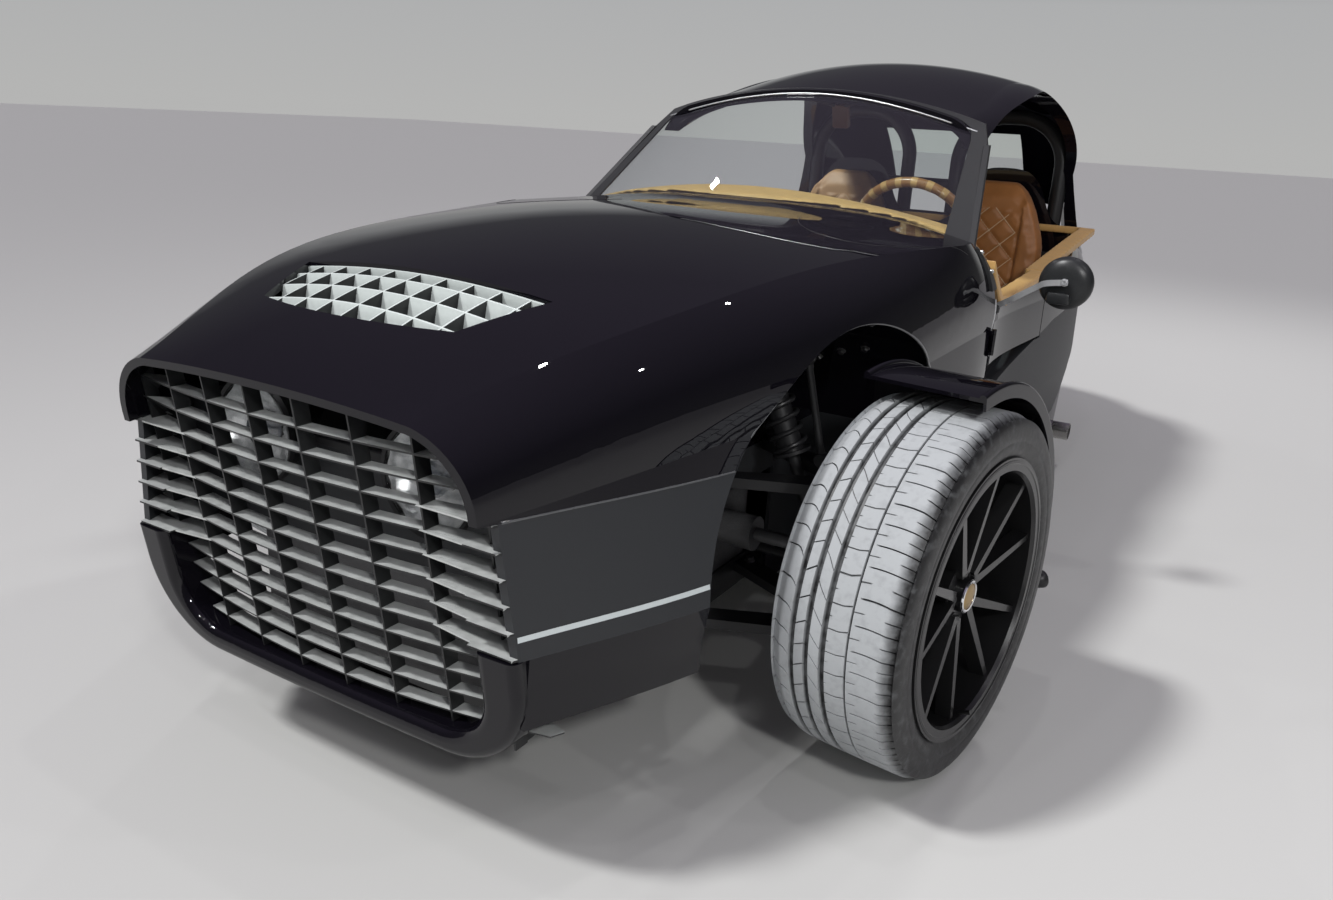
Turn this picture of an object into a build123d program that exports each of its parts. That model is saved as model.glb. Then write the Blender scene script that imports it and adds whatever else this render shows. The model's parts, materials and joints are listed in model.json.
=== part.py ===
"""Three-wheeled roadster with a removable hard top.

Millimetres. +Z up, the front faces -Y, +X is the car's left side.
The origin is on the ground under the middle of the whole car.
"""
import math
import os

from build123d import *

os.makedirs("parts", exist_ok=True)

# Wheels
FRONT_AXLE_Y = -1050.0
REAR_AXLE_Y = 1490.0
HALF_TRACK = 731.0
FRONT_TYRE_R = 323.5
FRONT_TYRE_W = 228.0
REAR_TYRE_R = 328.0
REAR_TYRE_W = 285.0
RIM_R = 238.0
STEER_DEG = -8.0
KINGPIN_IN = 86.0
KINGPIN_X = HALF_TRACK - KINGPIN_IN
RUN_GAP = 0.06
SPOKE_PAIRS = 5
SPOKE_SPREAD = 70.0
SPOKE_PHASE = 12.0

# Body shell
SKIN = 14.0
SILL_Z = 130.0
BAND_LOW_Z = 378.0
BAND_TOP_Z = 572.0
BAND_FRONT_Y = -1784.0
CHIN_SIDE_Z = 265.0
NOSE_Y = -1838.0
NOSE_BACK_Y = -330.0
NOSE_LEAN = 0.157
CORE_Y = -1655.0
TAIL_Y = 1846.0
ARCH_R = 430.0
ARCH_WALL_X = 340.0
ARCH_SKIN = 8.0

# Body sections: y, top z, shoulder x and z, side x and z, low side x, sill x
NOSE_STATIONS = [
    (-1850.0, 696.0, 268.0, 686.0, 352.0, 572.0, 373.0, 360.0),
    (-1664.0, 790.0, 335.0, 748.0, 418.0, 590.0, 452.0, 430.0),
    (-1500.0, 830.0, 400.0, 790.0, 478.0, 610.0, 520.0, 495.0),
    (-1250.0, 866.0, 455.0, 828.0, 548.0, 630.0, 580.0, 560.0),
    (-900.0, 892.0, 500.0, 848.0, 598.0, 640.0, 612.0, 600.0),
    (-330.0, 916.0, 530.0, 842.0, 618.0, 650.0, 622.0, 612.0),
]
TAIL_STATIONS = [
    (-330.0, 916.0, 530.0, 842.0, 618.0, 650.0, 622.0, 612.0),
    (400.0, 850.0, 535.0, 805.0, 620.0, 650.0, 622.0, 612.0),
    (900.0, 815.0, 520.0, 772.0, 605.0, 640.0, 610.0, 600.0),
    (1250.0, 790.0, 455.0, 750.0, 550.0, 620.0, 560.0, 550.0),
    (1600.0, 745.0, 350.0, 705.0, 455.0, 590.0, 465.0, 455.0),
    (1850.0, 670.0, 230.0, 640.0, 330.0, 560.0, 340.0, 330.0),
]
TAIL_ROUND_R = 500.0

# Side lines seen from the side: y, z
UPPER_LINE = [(-1050.0, 470.0), (-150.0, 470.0), (430.0, 574.0), (900.0, 600.0), (1900.0, 600.0)]
LOWER_LINE = [(-1050.0, 200.0), (500.0, 212.0), (695.0, 242.0), (990.0, 370.0),
              (1200.0, 420.0), (1900.0, 470.0)]
SILL_LINE = [(-331.0, 900.0), (-330.0, 795.0), (-290.0, 755.0), (-200.0, 690.0), (-140.0, 680.0),
             (300.0, 702.0), (740.0, 742.0), (1080.0, 770.0)]
SKIRT_END_Y = 830.0

# Cockpit
COCKPIT_X = 560.0
COCKPIT_BACK_Y = 1080.0
FLOOR_Z = 165.0
FLOOR_T = 20.0
TUB_WALL = 14.0
PAD_H = 24.0
DASH_ROLL = 8.0

# Doors
DOOR_FRONT_Y = -324.0
DOOR_BACK_Y = 285.0
DOOR_LOW_Z = 545.0
DOOR_GAP = 6.0
DOOR_T = 46.0

# Windscreen and roof
GLASS_T = 8.0
GLASS_RAKE = 1.47
GLASS_LOW_Z = 851.0
GLASS_CORNER_X = 490.0
GLASS_CORNER_Y = -341.0
GLASS_BULGE = 150.0
# Windscreen edge and the outer edge of its flat side pillars, from below to the top corner: x, z
GLASS_EDGE = [(486.0, 740.0), (486.0, 851.0), (441.0, 1060.0), (429.0, 1090.0), (398.0, 1108.0)]
GLASS_TOP_Z = 1161.0
PILLAR_EDGE = [(552.0, 740.0), (539.0, 836.0), (484.0, 1045.0), (454.0, 1102.0), (404.0, 1118.0)]
PILLAR_TOP_Z = 1172.0
PILLAR_T = 10.0
FOOT_T = 7.0
ROOF_SKIN = 10.0
ROOF_FRONT_Y = -40.0
HEADER_T = 28.0
# Roof sections: y, top z, shoulder x and z, side x and z, foot x
ROOF_STATIONS = [
    (ROOF_FRONT_Y, 1166.0, 383.0, 1111.0, 471.0, 950.0, 540.0),
    (300.0, 1238.0, 384.0, 1172.0, 504.0, 1040.0, 580.0),
    (800.0, 1279.0, 374.0, 1230.0, 532.0, 1010.0, 570.0),
    (1180.0, 1184.0, 424.0, 1115.0, 475.0, 940.0, 550.0),
    (1500.0, 880.0, 320.0, 850.0, 420.0, 760.0, 470.0),
]
ROOF_FOOT_Z = 690.0
# Upper edge of the roof's side openings, from the front corner over and down to the rear: y, z
ROOF_OPENING = [(-20.0, 1040.0), (93.0, 1088.0), (370.0, 1164.0), (640.0, 1206.0), (880.0, 1194.0),
                (1020.0, 1100.0), (1090.0, 940.0), (1130.0, 700.0)]
OPENING_MID = (450.0, 850.0)
RIM_DEEP = 34.0
RIM_W = 9.0

# Grille
GRILLE_X = [-350.0, -250.0, -150.0, -50.0, 50.0, 150.0, 250.0, 350.0]
GRILLE_TOP_Z = 644.0
GRILLE_PITCH = 37.5
GRILLE_SLATS = 12
GRILLE_T = 3.0
GRILLE_DEEP = 70.0
GRILLE_R = 1750.0

# Headlamps
LAMP_FRONT_X = 212.0
LAMP_FRONT_Z = 575.0
LAMP_FRONT_R = 66.0

# Hood vent
VENT_BACK_Y = -1521.0
VENT_FRONT_Y = -1664.0
VENT_NOSE_Y = -1700.0
VENT_BACK_X = 258.0
VENT_FRONT_X = 197.0

# Seats, hoops and steering
SEAT_X = 275.0
SEAT_W = 360.0
SEAT_PANEL_W = 210.0
SEAT_PANEL_DIP = 12.0
HOOP_X = 270.0
HOOP_W = 410.0
HOOP_R = 25.0
HOOP_TOP_Z = 1166.0
HOOP_Y = 1106.0
HOOP_BEND = 160.0
HUMP_X = 275.0
HUMP_W = 480.0
HUMP_TOP_Z = 972.0
HUMP_BACK_Y = 1420.0
WHEEL_POS = (285.0, 67.0, 804.0)
WHEEL_R = 172.0
WHEEL_TILT = 25.0


def box(x0, x1, y0, y1, z0, z1):
    return Pos((x0 + x1) / 2, (y0 + y1) / 2, (z0 + z1) / 2) * Box(x1 - x0, y1 - y0, z1 - z0)


def rod(start, end, radius):
    a = Vector(*start)
    b = Vector(*end)
    plane = Plane(origin=a, z_dir=b - a)
    return plane * Cylinder(radius, (b - a).length, align=(Align.CENTER, Align.CENTER, Align.MIN))


def prism(points, run):
    """A polygon in space pushed along the vector run."""
    face = Face(Wire.make_polygon([Vector(*p) for p in points], close=True))
    return Solid.extrude(face, Vector(*run))


def prism_x(points, x0, x1):
    return prism([(x0, y, z) for y, z in points], (x1 - x0, 0, 0))


def prism_y(points, y0, y1):
    return prism([(x, y0, z) for x, z in points], (0, y1 - y0, 0))


def prism_z(points, z0, z1):
    return prism([(x, y, z0) for x, y in points], (0, 0, z1 - z0))


def flip(shape):
    return mirror(shape, about=Plane.YZ)


def shoulder(p, q):
    """Middle point of the rounding between the side p and the shoulder q."""
    mid_x = (p[0] + q[0]) / 2
    mid_z = (p[1] + q[1]) / 2
    return (mid_x + 0.4 * (p[0] - mid_x), mid_z + 0.4 * (q[1] - mid_z))


def body_wire(station, t, foot_z):
    y, top_z, sh_x, sh_z, side_x, side_z, low_x, sill_x = station
    half = [
        (sill_x - t, foot_z),
        (low_x - t, BAND_LOW_Z),
        (side_x - t, side_z),
        (sh_x - 0.5 * t, sh_z - 0.85 * t),
    ]
    return closed_wire(y, half, top_z - t)


def roof_wire(station, t, foot_z):
    y, top_z, sh_x, sh_z, side_x, side_z, foot_x = station
    half = [
        (foot_x - t, foot_z),
        (side_x - t, side_z),
        (sh_x - 0.5 * t, sh_z - 0.85 * t),
    ]
    return closed_wire(y, half, top_z - t)


def closed_wire(y, half, top_z):
    """Half section from the foot to the shoulder, mirrored, with a crowned top."""
    right = [Vector(x, y, z) for x, z in half]
    left = [Vector(-x, y, z) for x, z in half]
    bend = shoulder(half[-2], half[-1])
    edges = [Edge.make_line(left[0], right[0])]
    for a, b in zip(right[:-2], right[1:-1]):
        edges.append(Edge.make_line(a, b))
    edges.append(Edge.make_three_point_arc(right[-2], Vector(bend[0], y, bend[1]), right[-1]))
    edges.append(Edge.make_three_point_arc(right[-1], Vector(0, y, top_z), left[-1]))
    edges.append(Edge.make_three_point_arc(left[-1], Vector(-bend[0], y, bend[1]), left[-2]))
    for a, b in zip(left[-2:0:-1], left[-3::-1]):
        edges.append(Edge.make_line(a, b))
    return Wire(edges)


def body_loft(stations, t, foot_z):
    return Solid.make_loft([body_wire(s, t, foot_z) for s in stations])


def roof_loft(t, foot_z):
    return Solid.make_loft([roof_wire(s, t, foot_z) for s in ROOF_STATIONS])


def above(line, x, top=1400.0):
    return prism_x([(line[0][0], top)] + line + [(line[-1][0], top)], -x, x)


def below(line, x, low=-200.0):
    return prism_x([(line[0][0], low)] + line + [(line[-1][0], low)], -x, x)


def front_prism(centre_y, radius, lean, half_w, z0, z1, depth):
    """Space behind a bulged and leaning front surface."""
    sag = radius - math.sqrt(radius ** 2 - half_w ** 2)
    y0 = centre_y + lean * (BAND_TOP_Z + 125.0 - z0)
    a = Vector(-half_w, y0 + sag, z0)
    m = Vector(0, y0, z0)
    b = Vector(half_w, y0 + sag, z0)
    c = Vector(half_w, y0 + sag + depth, z0)
    n = Vector(0, y0 + depth, z0)
    d = Vector(-half_w, y0 + sag + depth, z0)
    face = Face(Wire([
        Edge.make_three_point_arc(a, m, b),
        Edge.make_line(b, c),
        Edge.make_three_point_arc(c, n, d),
        Edge.make_line(d, a),
    ]))
    return Solid.extrude(face, Vector(0, -lean * (z1 - z0), z1 - z0))


# Whole outer shapes that the panels are cut from
nose_room = front_prism(NOSE_Y, 9750.0, NOSE_LEAN, 700.0, 60.0, 1000.0, 1650.0)
nose_outer = body_loft(NOSE_STATIONS, 0.0, SILL_Z) & nose_room
nose_cavity = body_loft(NOSE_STATIONS, SKIN, 60.0)
nose_cavity &= box(-700, 700, -1900, NOSE_BACK_Y - 50, 0, 1000)
tail_plan = Pos(0, TAIL_Y - TAIL_ROUND_R, 500) * Cylinder(TAIL_ROUND_R, 1400)
tail_plan += box(-700, 700, NOSE_BACK_Y - 10, TAIL_Y - TAIL_ROUND_R, -200, 1200)
tail_outer = body_loft(TAIL_STATIONS, 0.0, SILL_Z) & tail_plan

arch_cut = Compound([])
arch_keep = []
arch_open = []
for side in (-1, 1):
    inner = side * (ARCH_WALL_X - ARCH_SKIN)
    far = side * 720.0
    arch_keep.append(rod((inner, FRONT_AXLE_Y, FRONT_TYRE_R), (far, FRONT_AXLE_Y, FRONT_TYRE_R),
                         ARCH_R + ARCH_SKIN))
    wall = side * ARCH_WALL_X
    arch_open.append(rod((wall, FRONT_AXLE_Y, FRONT_TYRE_R), (far, FRONT_AXLE_Y, FRONT_TYRE_R), ARCH_R))
    lo, hi = sorted((side * 310.0, side * 345.0))
    arch_open.append(box(lo, hi, FRONT_AXLE_Y - 190, FRONT_AXLE_Y + 190, 60, 400))

for shape in arch_keep:
    nose_cavity -= shape
nose_body = nose_outer - nose_cavity
for shape in arch_open:
    nose_body -= shape
nose_body -= box(-300, 300, -400, NOSE_BACK_Y, 0, 200)

nose_line = [(-1900.0, BAND_TOP_Z), (FRONT_AXLE_Y, BAND_TOP_Z), (FRONT_AXLE_Y, UPPER_LINE[0][1]),
             (NOSE_BACK_Y, UPPER_LINE[0][1])]

# Hood vent opening
vent_face = Face(Wire([
    Edge.make_line((-VENT_FRONT_X, VENT_FRONT_Y, 700), (-VENT_BACK_X, VENT_BACK_Y, 700)),
    Edge.make_line((-VENT_BACK_X, VENT_BACK_Y, 700), (VENT_BACK_X, VENT_BACK_Y, 700)),
    Edge.make_line((VENT_BACK_X, VENT_BACK_Y, 700), (VENT_FRONT_X, VENT_FRONT_Y, 700)),
    Edge.make_three_point_arc((VENT_FRONT_X, VENT_FRONT_Y, 700), (0, VENT_NOSE_Y, 700),
                              (-VENT_FRONT_X, VENT_FRONT_Y, 700)),
]))
vent_hole = Solid.extrude(vent_face, Vector(0, 0, 250))

nose_shell = nose_body & above(nose_line, 720.0)
nose_shell -= vent_hole

vent_bars = []
for i in range(-4, 5):
    x = i * 55.0
    vent_bars.append(box(x - 1.5, x + 1.5, -1705, VENT_BACK_Y, 700, 900))
for j in range(3):
    y = VENT_BACK_Y - 30.0 - j * 46.0
    vent_bars.append(prism_x([(y - 30, 700), (y - 27, 700), (y + 15, 900), (y + 12, 900)], -260, 260))
vent_bars.append(box(-260, 260, VENT_BACK_Y - 4, VENT_BACK_Y, 700, 900))
vent_skin = (Pos(0, 0, -7) * nose_outer) - (Pos(0, 0, -52) * nose_outer)
hood_vent = Compound([])
for bar in vent_bars:
    hood_vent = hood_vent + bar
hood_vent = (hood_vent & vent_hole) & vent_skin

# Front band with the panel behind the grille
front_band_room = box(-720, 720, -1900, FRONT_AXLE_Y, BAND_LOW_Z, BAND_TOP_Z)
band_front = nose_body & front_band_room
band_front -= prism_x([(-1900, BAND_TOP_Z), (BAND_FRONT_Y, BAND_TOP_Z), (BAND_FRONT_Y + 10, BAND_LOW_Z),
                       (-1900, BAND_LOW_Z)], -720, 720)
core = box(-720, 720, CORE_Y, CORE_Y + 8, BAND_LOW_Z, BAND_TOP_Z) & nose_cavity
band_front += core

# Chin: a thick rounded lip under the grille, and the skirts ahead of the wheels
CHIN_OUT_X = 405.0
CHIN_OUT_R = 150.0
CHIN_LOW_Z = 172.0
CHIN_IN_X = 335.0
CHIN_IN_R = 90.0
CHIN_LIP_Z = 213.0
CHIN_DEEP = 75.0
CHIN_ROUND = 16.0


def trough(half, low, corner):
    """Block with rounded lower corners that runs front to back."""
    block = box(-half, half, -1900, -1500, low, 700)
    return fillet(block.edges().filter_by(Axis.Y).group_by(Axis.Z)[0], corner)


chin_bar = trough(CHIN_OUT_X, CHIN_LOW_Z, CHIN_OUT_R) - trough(CHIN_IN_X, CHIN_LIP_Z, CHIN_IN_R)
chin_bar &= box(-500, 500, -1900, -1500, 0, BAND_LOW_Z)
chin_bar &= front_prism(NOSE_Y - 8.0, 9750.0, NOSE_LEAN, 600.0, 60.0, 1000.0, CHIN_DEEP)
chin_front = chin_bar.faces().sort_by(Axis.Y)[0]
chin_edges = [e for e in chin_front.edges() if e.center().Z < BAND_LOW_Z - 8.0]
chin_bar = fillet(chin_edges, CHIN_ROUND)
chin_sides = nose_body & box(-720, 720, BAND_FRONT_Y + 25, FRONT_AXLE_Y, CHIN_SIDE_Z, BAND_LOW_Z)
chin = chin_sides + chin_bar

# Grille
grille_room = front_prism(-1830.0, GRILLE_R, NOSE_LEAN, 600.0, 60.0, 1000.0, GRILLE_DEEP)
grille = Compound([])
for x in GRILLE_X:
    grille = grille + box(x - GRILLE_T / 2, x + GRILLE_T / 2, -1900, -1600, 190, 690)
for j in range(GRILLE_SLATS):
    z = GRILLE_TOP_Z - j * GRILLE_PITCH
    grille = grille + box(-420, 420, -1900, -1600, z - GRILLE_T / 2, z + GRILLE_T / 2)
grille = (grille & grille_room) & nose_cavity
for j in range(GRILLE_SLATS):
    z = GRILLE_TOP_Z - j * GRILLE_PITCH
    if BAND_LOW_Z < z < BAND_TOP_Z:
        front_y = BAND_FRONT_Y + 10 * (BAND_TOP_Z - z) / (BAND_TOP_Z - BAND_LOW_Z)
        tips = box(-420, 420, front_y - 9, front_y, z - GRILLE_T / 2, z + GRILLE_T / 2)
        tips += box(-420, 420, front_y - 9, front_y + 30, z - GRILLE_T / 2, z + GRILLE_T / 2) & nose_cavity
        grille += (tips & body_loft(NOSE_STATIONS, 0.0, SILL_Z)) - box(-320, 320, -1900, -1600, 0, 900)
grille -= chin_bar
grille = max(grille.solids(), key=lambda s: s.volume)

# Headlamps on one bar
headlamps = box(-LAMP_FRONT_X, LAMP_FRONT_X, CORE_Y - 20, CORE_Y, 555, 571)
for side in (-1, 1):
    x = side * LAMP_FRONT_X
    headlamps += rod((x, CORE_Y - 56, LAMP_FRONT_Z), (x, CORE_Y, LAMP_FRONT_Z), LAMP_FRONT_R)
    headlamps -= rod((x, CORE_Y - 56, LAMP_FRONT_Z), (x, CORE_Y - 45, LAMP_FRONT_Z), LAMP_FRONT_R - 8)

# Tub: floor, walls, bulkheads, front rails and undertray
floor_low = FLOOR_Z - FLOOR_T
rise = (380.0 - floor_low) / (COCKPIT_BACK_Y - SKIRT_END_Y)
bulk_front = NOSE_BACK_Y + TUB_WALL
bulk_back = COCKPIT_BACK_Y - TUB_WALL
room_knee = SKIRT_END_Y - 8.0
tub = prism_x([(NOSE_BACK_Y, floor_low), (SKIRT_END_Y, floor_low), (COCKPIT_BACK_Y, 380),
               (COCKPIT_BACK_Y, 700), (bulk_back, 700), (bulk_back, 520), (bulk_front, 520),
               (bulk_front, 640), (NOSE_BACK_Y, 640)], -COCKPIT_X, COCKPIT_X)
tub -= prism_x([(bulk_front, FLOOR_Z), (room_knee, FLOOR_Z),
                (bulk_back, FLOOR_Z + rise * (bulk_back - room_knee)), (bulk_back, 800), (bulk_front, 800)],
               TUB_WALL - COCKPIT_X, COCKPIT_X - TUB_WALL)
for side in (-1, 1):
    lo, hi = sorted((side * 240.0, side * 300.0))
    tub += box(lo, hi, CORE_Y + 15, NOSE_BACK_Y, 145, 200)
tub += box(-300, 300, CORE_Y + 15, NOSE_BACK_Y, 137, 150)
tub += box(-300, 300, CORE_Y + 15, CORE_Y + 80, 137, 200)
tub += prism_x([(60, FLOOR_Z - 5), (room_knee, FLOOR_Z - 5), (bulk_back + 5, 392), (bulk_back + 5, 430), (60, 330)],
               -60, 60)

radiator = box(-255, 255, CORE_Y + 8, CORE_Y + 56, 200, 545)
engine = box(-295, 295, -1280, -860, 200, 700)
engine = fillet(engine.edges().filter_by(Axis.Z), 25)
for side in (-1, 1):
    engine += rod((side * 290, FRONT_AXLE_Y, FRONT_TYRE_R), (side * 400, FRONT_AXLE_Y, FRONT_TYRE_R), 34.0)
    engine += rod((side * 290, FRONT_AXLE_Y, FRONT_TYRE_R), (side * 575, FRONT_AXLE_Y, FRONT_TYRE_R), 13.0)

# Rear body cut into upper shell, bands and skirts
cockpit = box(-COCKPIT_X, COCKPIT_X, NOSE_BACK_Y, COCKPIT_BACK_Y, 0, 1000)
rear_well = rod((-200, REAR_AXLE_Y, REAR_TYRE_R), (200, REAR_AXLE_Y, REAR_TYRE_R), REAR_TYRE_R + 42)
rear_well += box(-200, 200, COCKPIT_BACK_Y, 1900, 0, REAR_TYRE_R)
rear_well += box(-200, 200, COCKPIT_BACK_Y, 1250, 0, 560)
rear_body = tail_outer - cockpit
rear_body -= rear_well
rear_body -= above(SILL_LINE, 720.0)
rear_body -= box(-720, 720, SKIRT_END_Y, 1900, 0, 240)
nose_side = nose_body & box(-720, 720, FRONT_AXLE_Y, NOSE_BACK_Y, 0, 900)
side_body = rear_body + (nose_side & below(UPPER_LINE, 720.0))

door_room = box(-720, 720, DOOR_FRONT_Y - DOOR_GAP, DOOR_BACK_Y + DOOR_GAP,
                DOOR_LOW_Z - DOOR_GAP, 1000)
tail_shell = (rear_body & above(UPPER_LINE, 720.0)) - door_room
tail_shell = max(tail_shell.solids(), key=lambda s: s.volume)
lower_body = side_body & below(UPPER_LINE, 720.0)
lower_body -= door_room
band_zone = lower_body & above(LOWER_LINE, 720.0)
skirt_zone = (lower_body & below(LOWER_LINE, 720.0)) & box(-720, 720, FRONT_AXLE_Y, SKIRT_END_Y, 0, 400)
left_room = box(0, 720, -1060, 1900, 0, 1000)
right_room = box(-720, 0, -1060, 1900, 0, 1000)

# Humps of the rear deck behind the seats
HUMP_SHAPE = [(-1.0, 0.0), (-0.64, 0.33), (-0.5, 0.72), (-0.33, 0.93), (0.0, 1.0), (0.33, 0.93), (0.5, 0.72),
              (0.64, 0.33), (1.0, 0.0)]


def hump_wire(y, width, low, high):
    top = [Vector(HUMP_X + u * width / 2, y, low + v * (high - low)) for u, v in HUMP_SHAPE]
    foot_a = Vector(HUMP_X - width / 2, y, low - 60)
    foot_b = Vector(HUMP_X + width / 2, y, low - 60)
    return Wire([Edge.make_line(foot_a, top[0]), Edge.make_spline(top), Edge.make_line(top[-1], foot_b),
                 Edge.make_line(foot_b, foot_a)])


hump = Solid.make_loft([
    hump_wire(COCKPIT_BACK_Y, HUMP_W, 782.0, HUMP_TOP_Z),
    hump_wire(HUMP_BACK_Y, HUMP_W * 0.6, 690.0, 738.0),
])
hump -= rear_well
tail_shell += hump
tail_shell += flip(hump)

# Tail lamps
LAMP_X = 330.0
LAMP_Z = 545.0
LAMP_R = 48.0
lamp_y = TAIL_Y - TAIL_ROUND_R + math.sqrt(TAIL_ROUND_R ** 2 - (LAMP_X - LAMP_R) ** 2)
tail_lamp = rod((LAMP_X, lamp_y - 110, LAMP_Z), (LAMP_X, lamp_y - 6, LAMP_Z), LAMP_R)
tail_shell -= tail_lamp
tail_shell -= flip(tail_lamp)
band_zone -= tail_lamp
band_zone -= flip(tail_lamp)

# Doors
door_block = box(COCKPIT_X + 3, 720, DOOR_FRONT_Y, DOOR_BACK_Y, DOOR_LOW_Z, 1000)
door_left = (tail_outer & door_block) - above(SILL_LINE, 720.0)
door_left &= box(0, 720, -400, 400, 0, 1000)

# Door hinge: a pin held by two lugs on the nose, in a barrel on the door
HINGE_X = 624.0
HINGE_Y = -322.0
HINGE_LOW = 590.0
HINGE_HIGH = 650.0
HINGE_LUG = 10.0
hinge_pin = rod((HINGE_X, HINGE_Y, HINGE_LOW), (HINGE_X, HINGE_Y, HINGE_HIGH), 3.0)
for z in (HINGE_LOW, HINGE_HIGH - HINGE_LUG):
    hinge_pin += rod((HINGE_X, HINGE_Y, z), (HINGE_X, HINGE_Y, z + HINGE_LUG), 6.5)
    hinge_pin += box(HINGE_X - 14, HINGE_X, HINGE_Y - 22, HINGE_Y, z, z + HINGE_LUG)
    door_left -= rod((HINGE_X, HINGE_Y, z - 1.5), (HINGE_X, HINGE_Y, z + HINGE_LUG + 1.5), 9.0)
    door_left -= box(HINGE_X - 20, HINGE_X, HINGE_Y - 22, HINGE_Y + 1, z - 1.5, z + HINGE_LUG + 1.5)
nose_shell += hinge_pin
nose_shell += flip(hinge_pin)
barrel_low = HINGE_LOW + HINGE_LUG + 1
barrel_high = HINGE_HIGH - HINGE_LUG - 1
hinge_barrel = rod((HINGE_X, HINGE_Y, barrel_low), (HINGE_X, HINGE_Y, barrel_high), 6.5)
hinge_barrel += box(HINGE_X - 12, HINGE_X, HINGE_Y, HINGE_Y + 12, barrel_low, barrel_high)
door_left += hinge_barrel
door_left -= rod((HINGE_X, HINGE_Y, HINGE_LOW), (HINGE_X, HINGE_Y, HINGE_HIGH), 3.0 + RUN_GAP)


def pad_strip(y0, y1, x0, x1):
    """Padded strip on top of the sill between two y values."""
    ys = [y for y, z in SILL_LINE if y0 < y < y1]
    ys = [y0] + ys + [y1]
    low = [(y, sill_z(y)) for y in ys]
    high = [(y, z + PAD_H) for y, z in reversed(low)]
    return prism_x(low + high, x0, x1)


def sill_z(y):
    for (ya, za), (yb, zb) in zip(SILL_LINE[:-1], SILL_LINE[1:]):
        if ya <= y <= yb:
            return za + (zb - za) * (y - ya) / (yb - ya)
    return SILL_LINE[-1][1]


door_pad_left = pad_strip(DOOR_FRONT_Y + 8, DOOR_BACK_Y, COCKPIT_X + 3, 606)
rim_pad = pad_strip(DOOR_BACK_Y + DOOR_GAP, COCKPIT_BACK_Y, COCKPIT_X - 14, 596)
rim_pad += flip(rim_pad)
rim_pad += box(-COCKPIT_X, COCKPIT_X, COCKPIT_BACK_Y - 18, COCKPIT_BACK_Y, 770, 794)
rim_pad -= tail_shell

mirror_left = rod((596, -262, 690), (640, -262, 712), 9.0) & box(0, 900, -400, 0, 600, 900)
mirror_left += rod((636, -262, 708), (706, -252, 752), 6.0)
mirror_left += rod((748, -275, 763), (748, -225, 763), 60.0)
head_cone = Plane(origin=(748, -275, 763), z_dir=(0, -1, 0)) * Cone(60, 30, 34, align=(
    Align.CENTER, Align.CENTER, Align.MIN))
mirror_left += head_cone
mirror_left -= rod((748, -232, 763), (748, -225, 763), 54.0)
mirror_left -= door_left
mirror_left -= door_pad_left

# Windscreen
slope = Vector(0, GLASS_RAKE, 1.0)


def screen_band(y_shift, thick):
    z0 = GLASS_LOW_Z - 110.0
    back = GLASS_RAKE * 110.0
    yc = GLASS_CORNER_Y - back + y_shift
    half = GLASS_CORNER_X * 1.3
    radius = (GLASS_CORNER_X ** 2 + GLASS_BULGE ** 2) / (2 * GLASS_BULGE)
    mid = yc - GLASS_BULGE
    sag = radius - math.sqrt(radius ** 2 - half ** 2)
    front = Edge.make_three_point_arc((-half, mid + sag, z0), (0, mid, z0), (half, mid + sag, z0))
    rear = Edge.make_three_point_arc((half, mid + sag + thick, z0), (0, mid + thick, z0),
                                     (-half, mid + sag + thick, z0))
    face = Face(Wire([
        front,
        Edge.make_line((half, mid + sag, z0), (half, mid + sag + thick, z0)),
        rear,
        Edge.make_line((-half, mid + sag + thick, z0), (-half, mid + sag, z0)),
    ]))
    return Solid.extrude(face, slope * 480.0)


def screen_outline(edge, top_z):
    right = [Vector(x, -800, z) for x, z in edge]
    left = [Vector(-x, -800, z) for x, z in edge]
    edges = [Edge.make_line(a, b) for a, b in zip(right[:-1], right[1:])]
    edges.append(Edge.make_three_point_arc(right[-1], Vector(0, -800, top_z), left[-1]))
    edges += [Edge.make_line(a, b) for a, b in zip(left[:0:-1], left[-2::-1])]
    edges.append(Edge.make_line(left[0], right[0]))
    return Solid.extrude(Face(Wire(edges)), Vector(0, 1000, 0))


def roof_opening(grow):
    """Cutter for both side openings, its outline grown outwards from the middle."""
    mid_y, mid_z = OPENING_MID
    edge = []
    for y, z in ROOF_OPENING:
        reach = math.hypot(y - mid_y, z - mid_z)
        edge.append((mid_y + (y - mid_y) * (1 + grow / reach), mid_z + (z - mid_z) * (1 + grow / reach)))
    pts = [Vector(-720, y, z) for y, z in edge]
    front_low = Vector(-720, -400, 600)
    front_high = Vector(-720, -400, pts[0].Z)
    back_low = Vector(-720, pts[-1].Y, 600)
    face = Face(Wire([
        Edge.make_line(front_low, front_high),
        Edge.make_line(front_high, pts[0]),
        Edge.make_spline(pts),
        Edge.make_line(pts[-1], back_low),
        Edge.make_line(back_low, front_low),
    ]))
    return Solid.extrude(face, Vector(1440, 0, 0))


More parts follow.
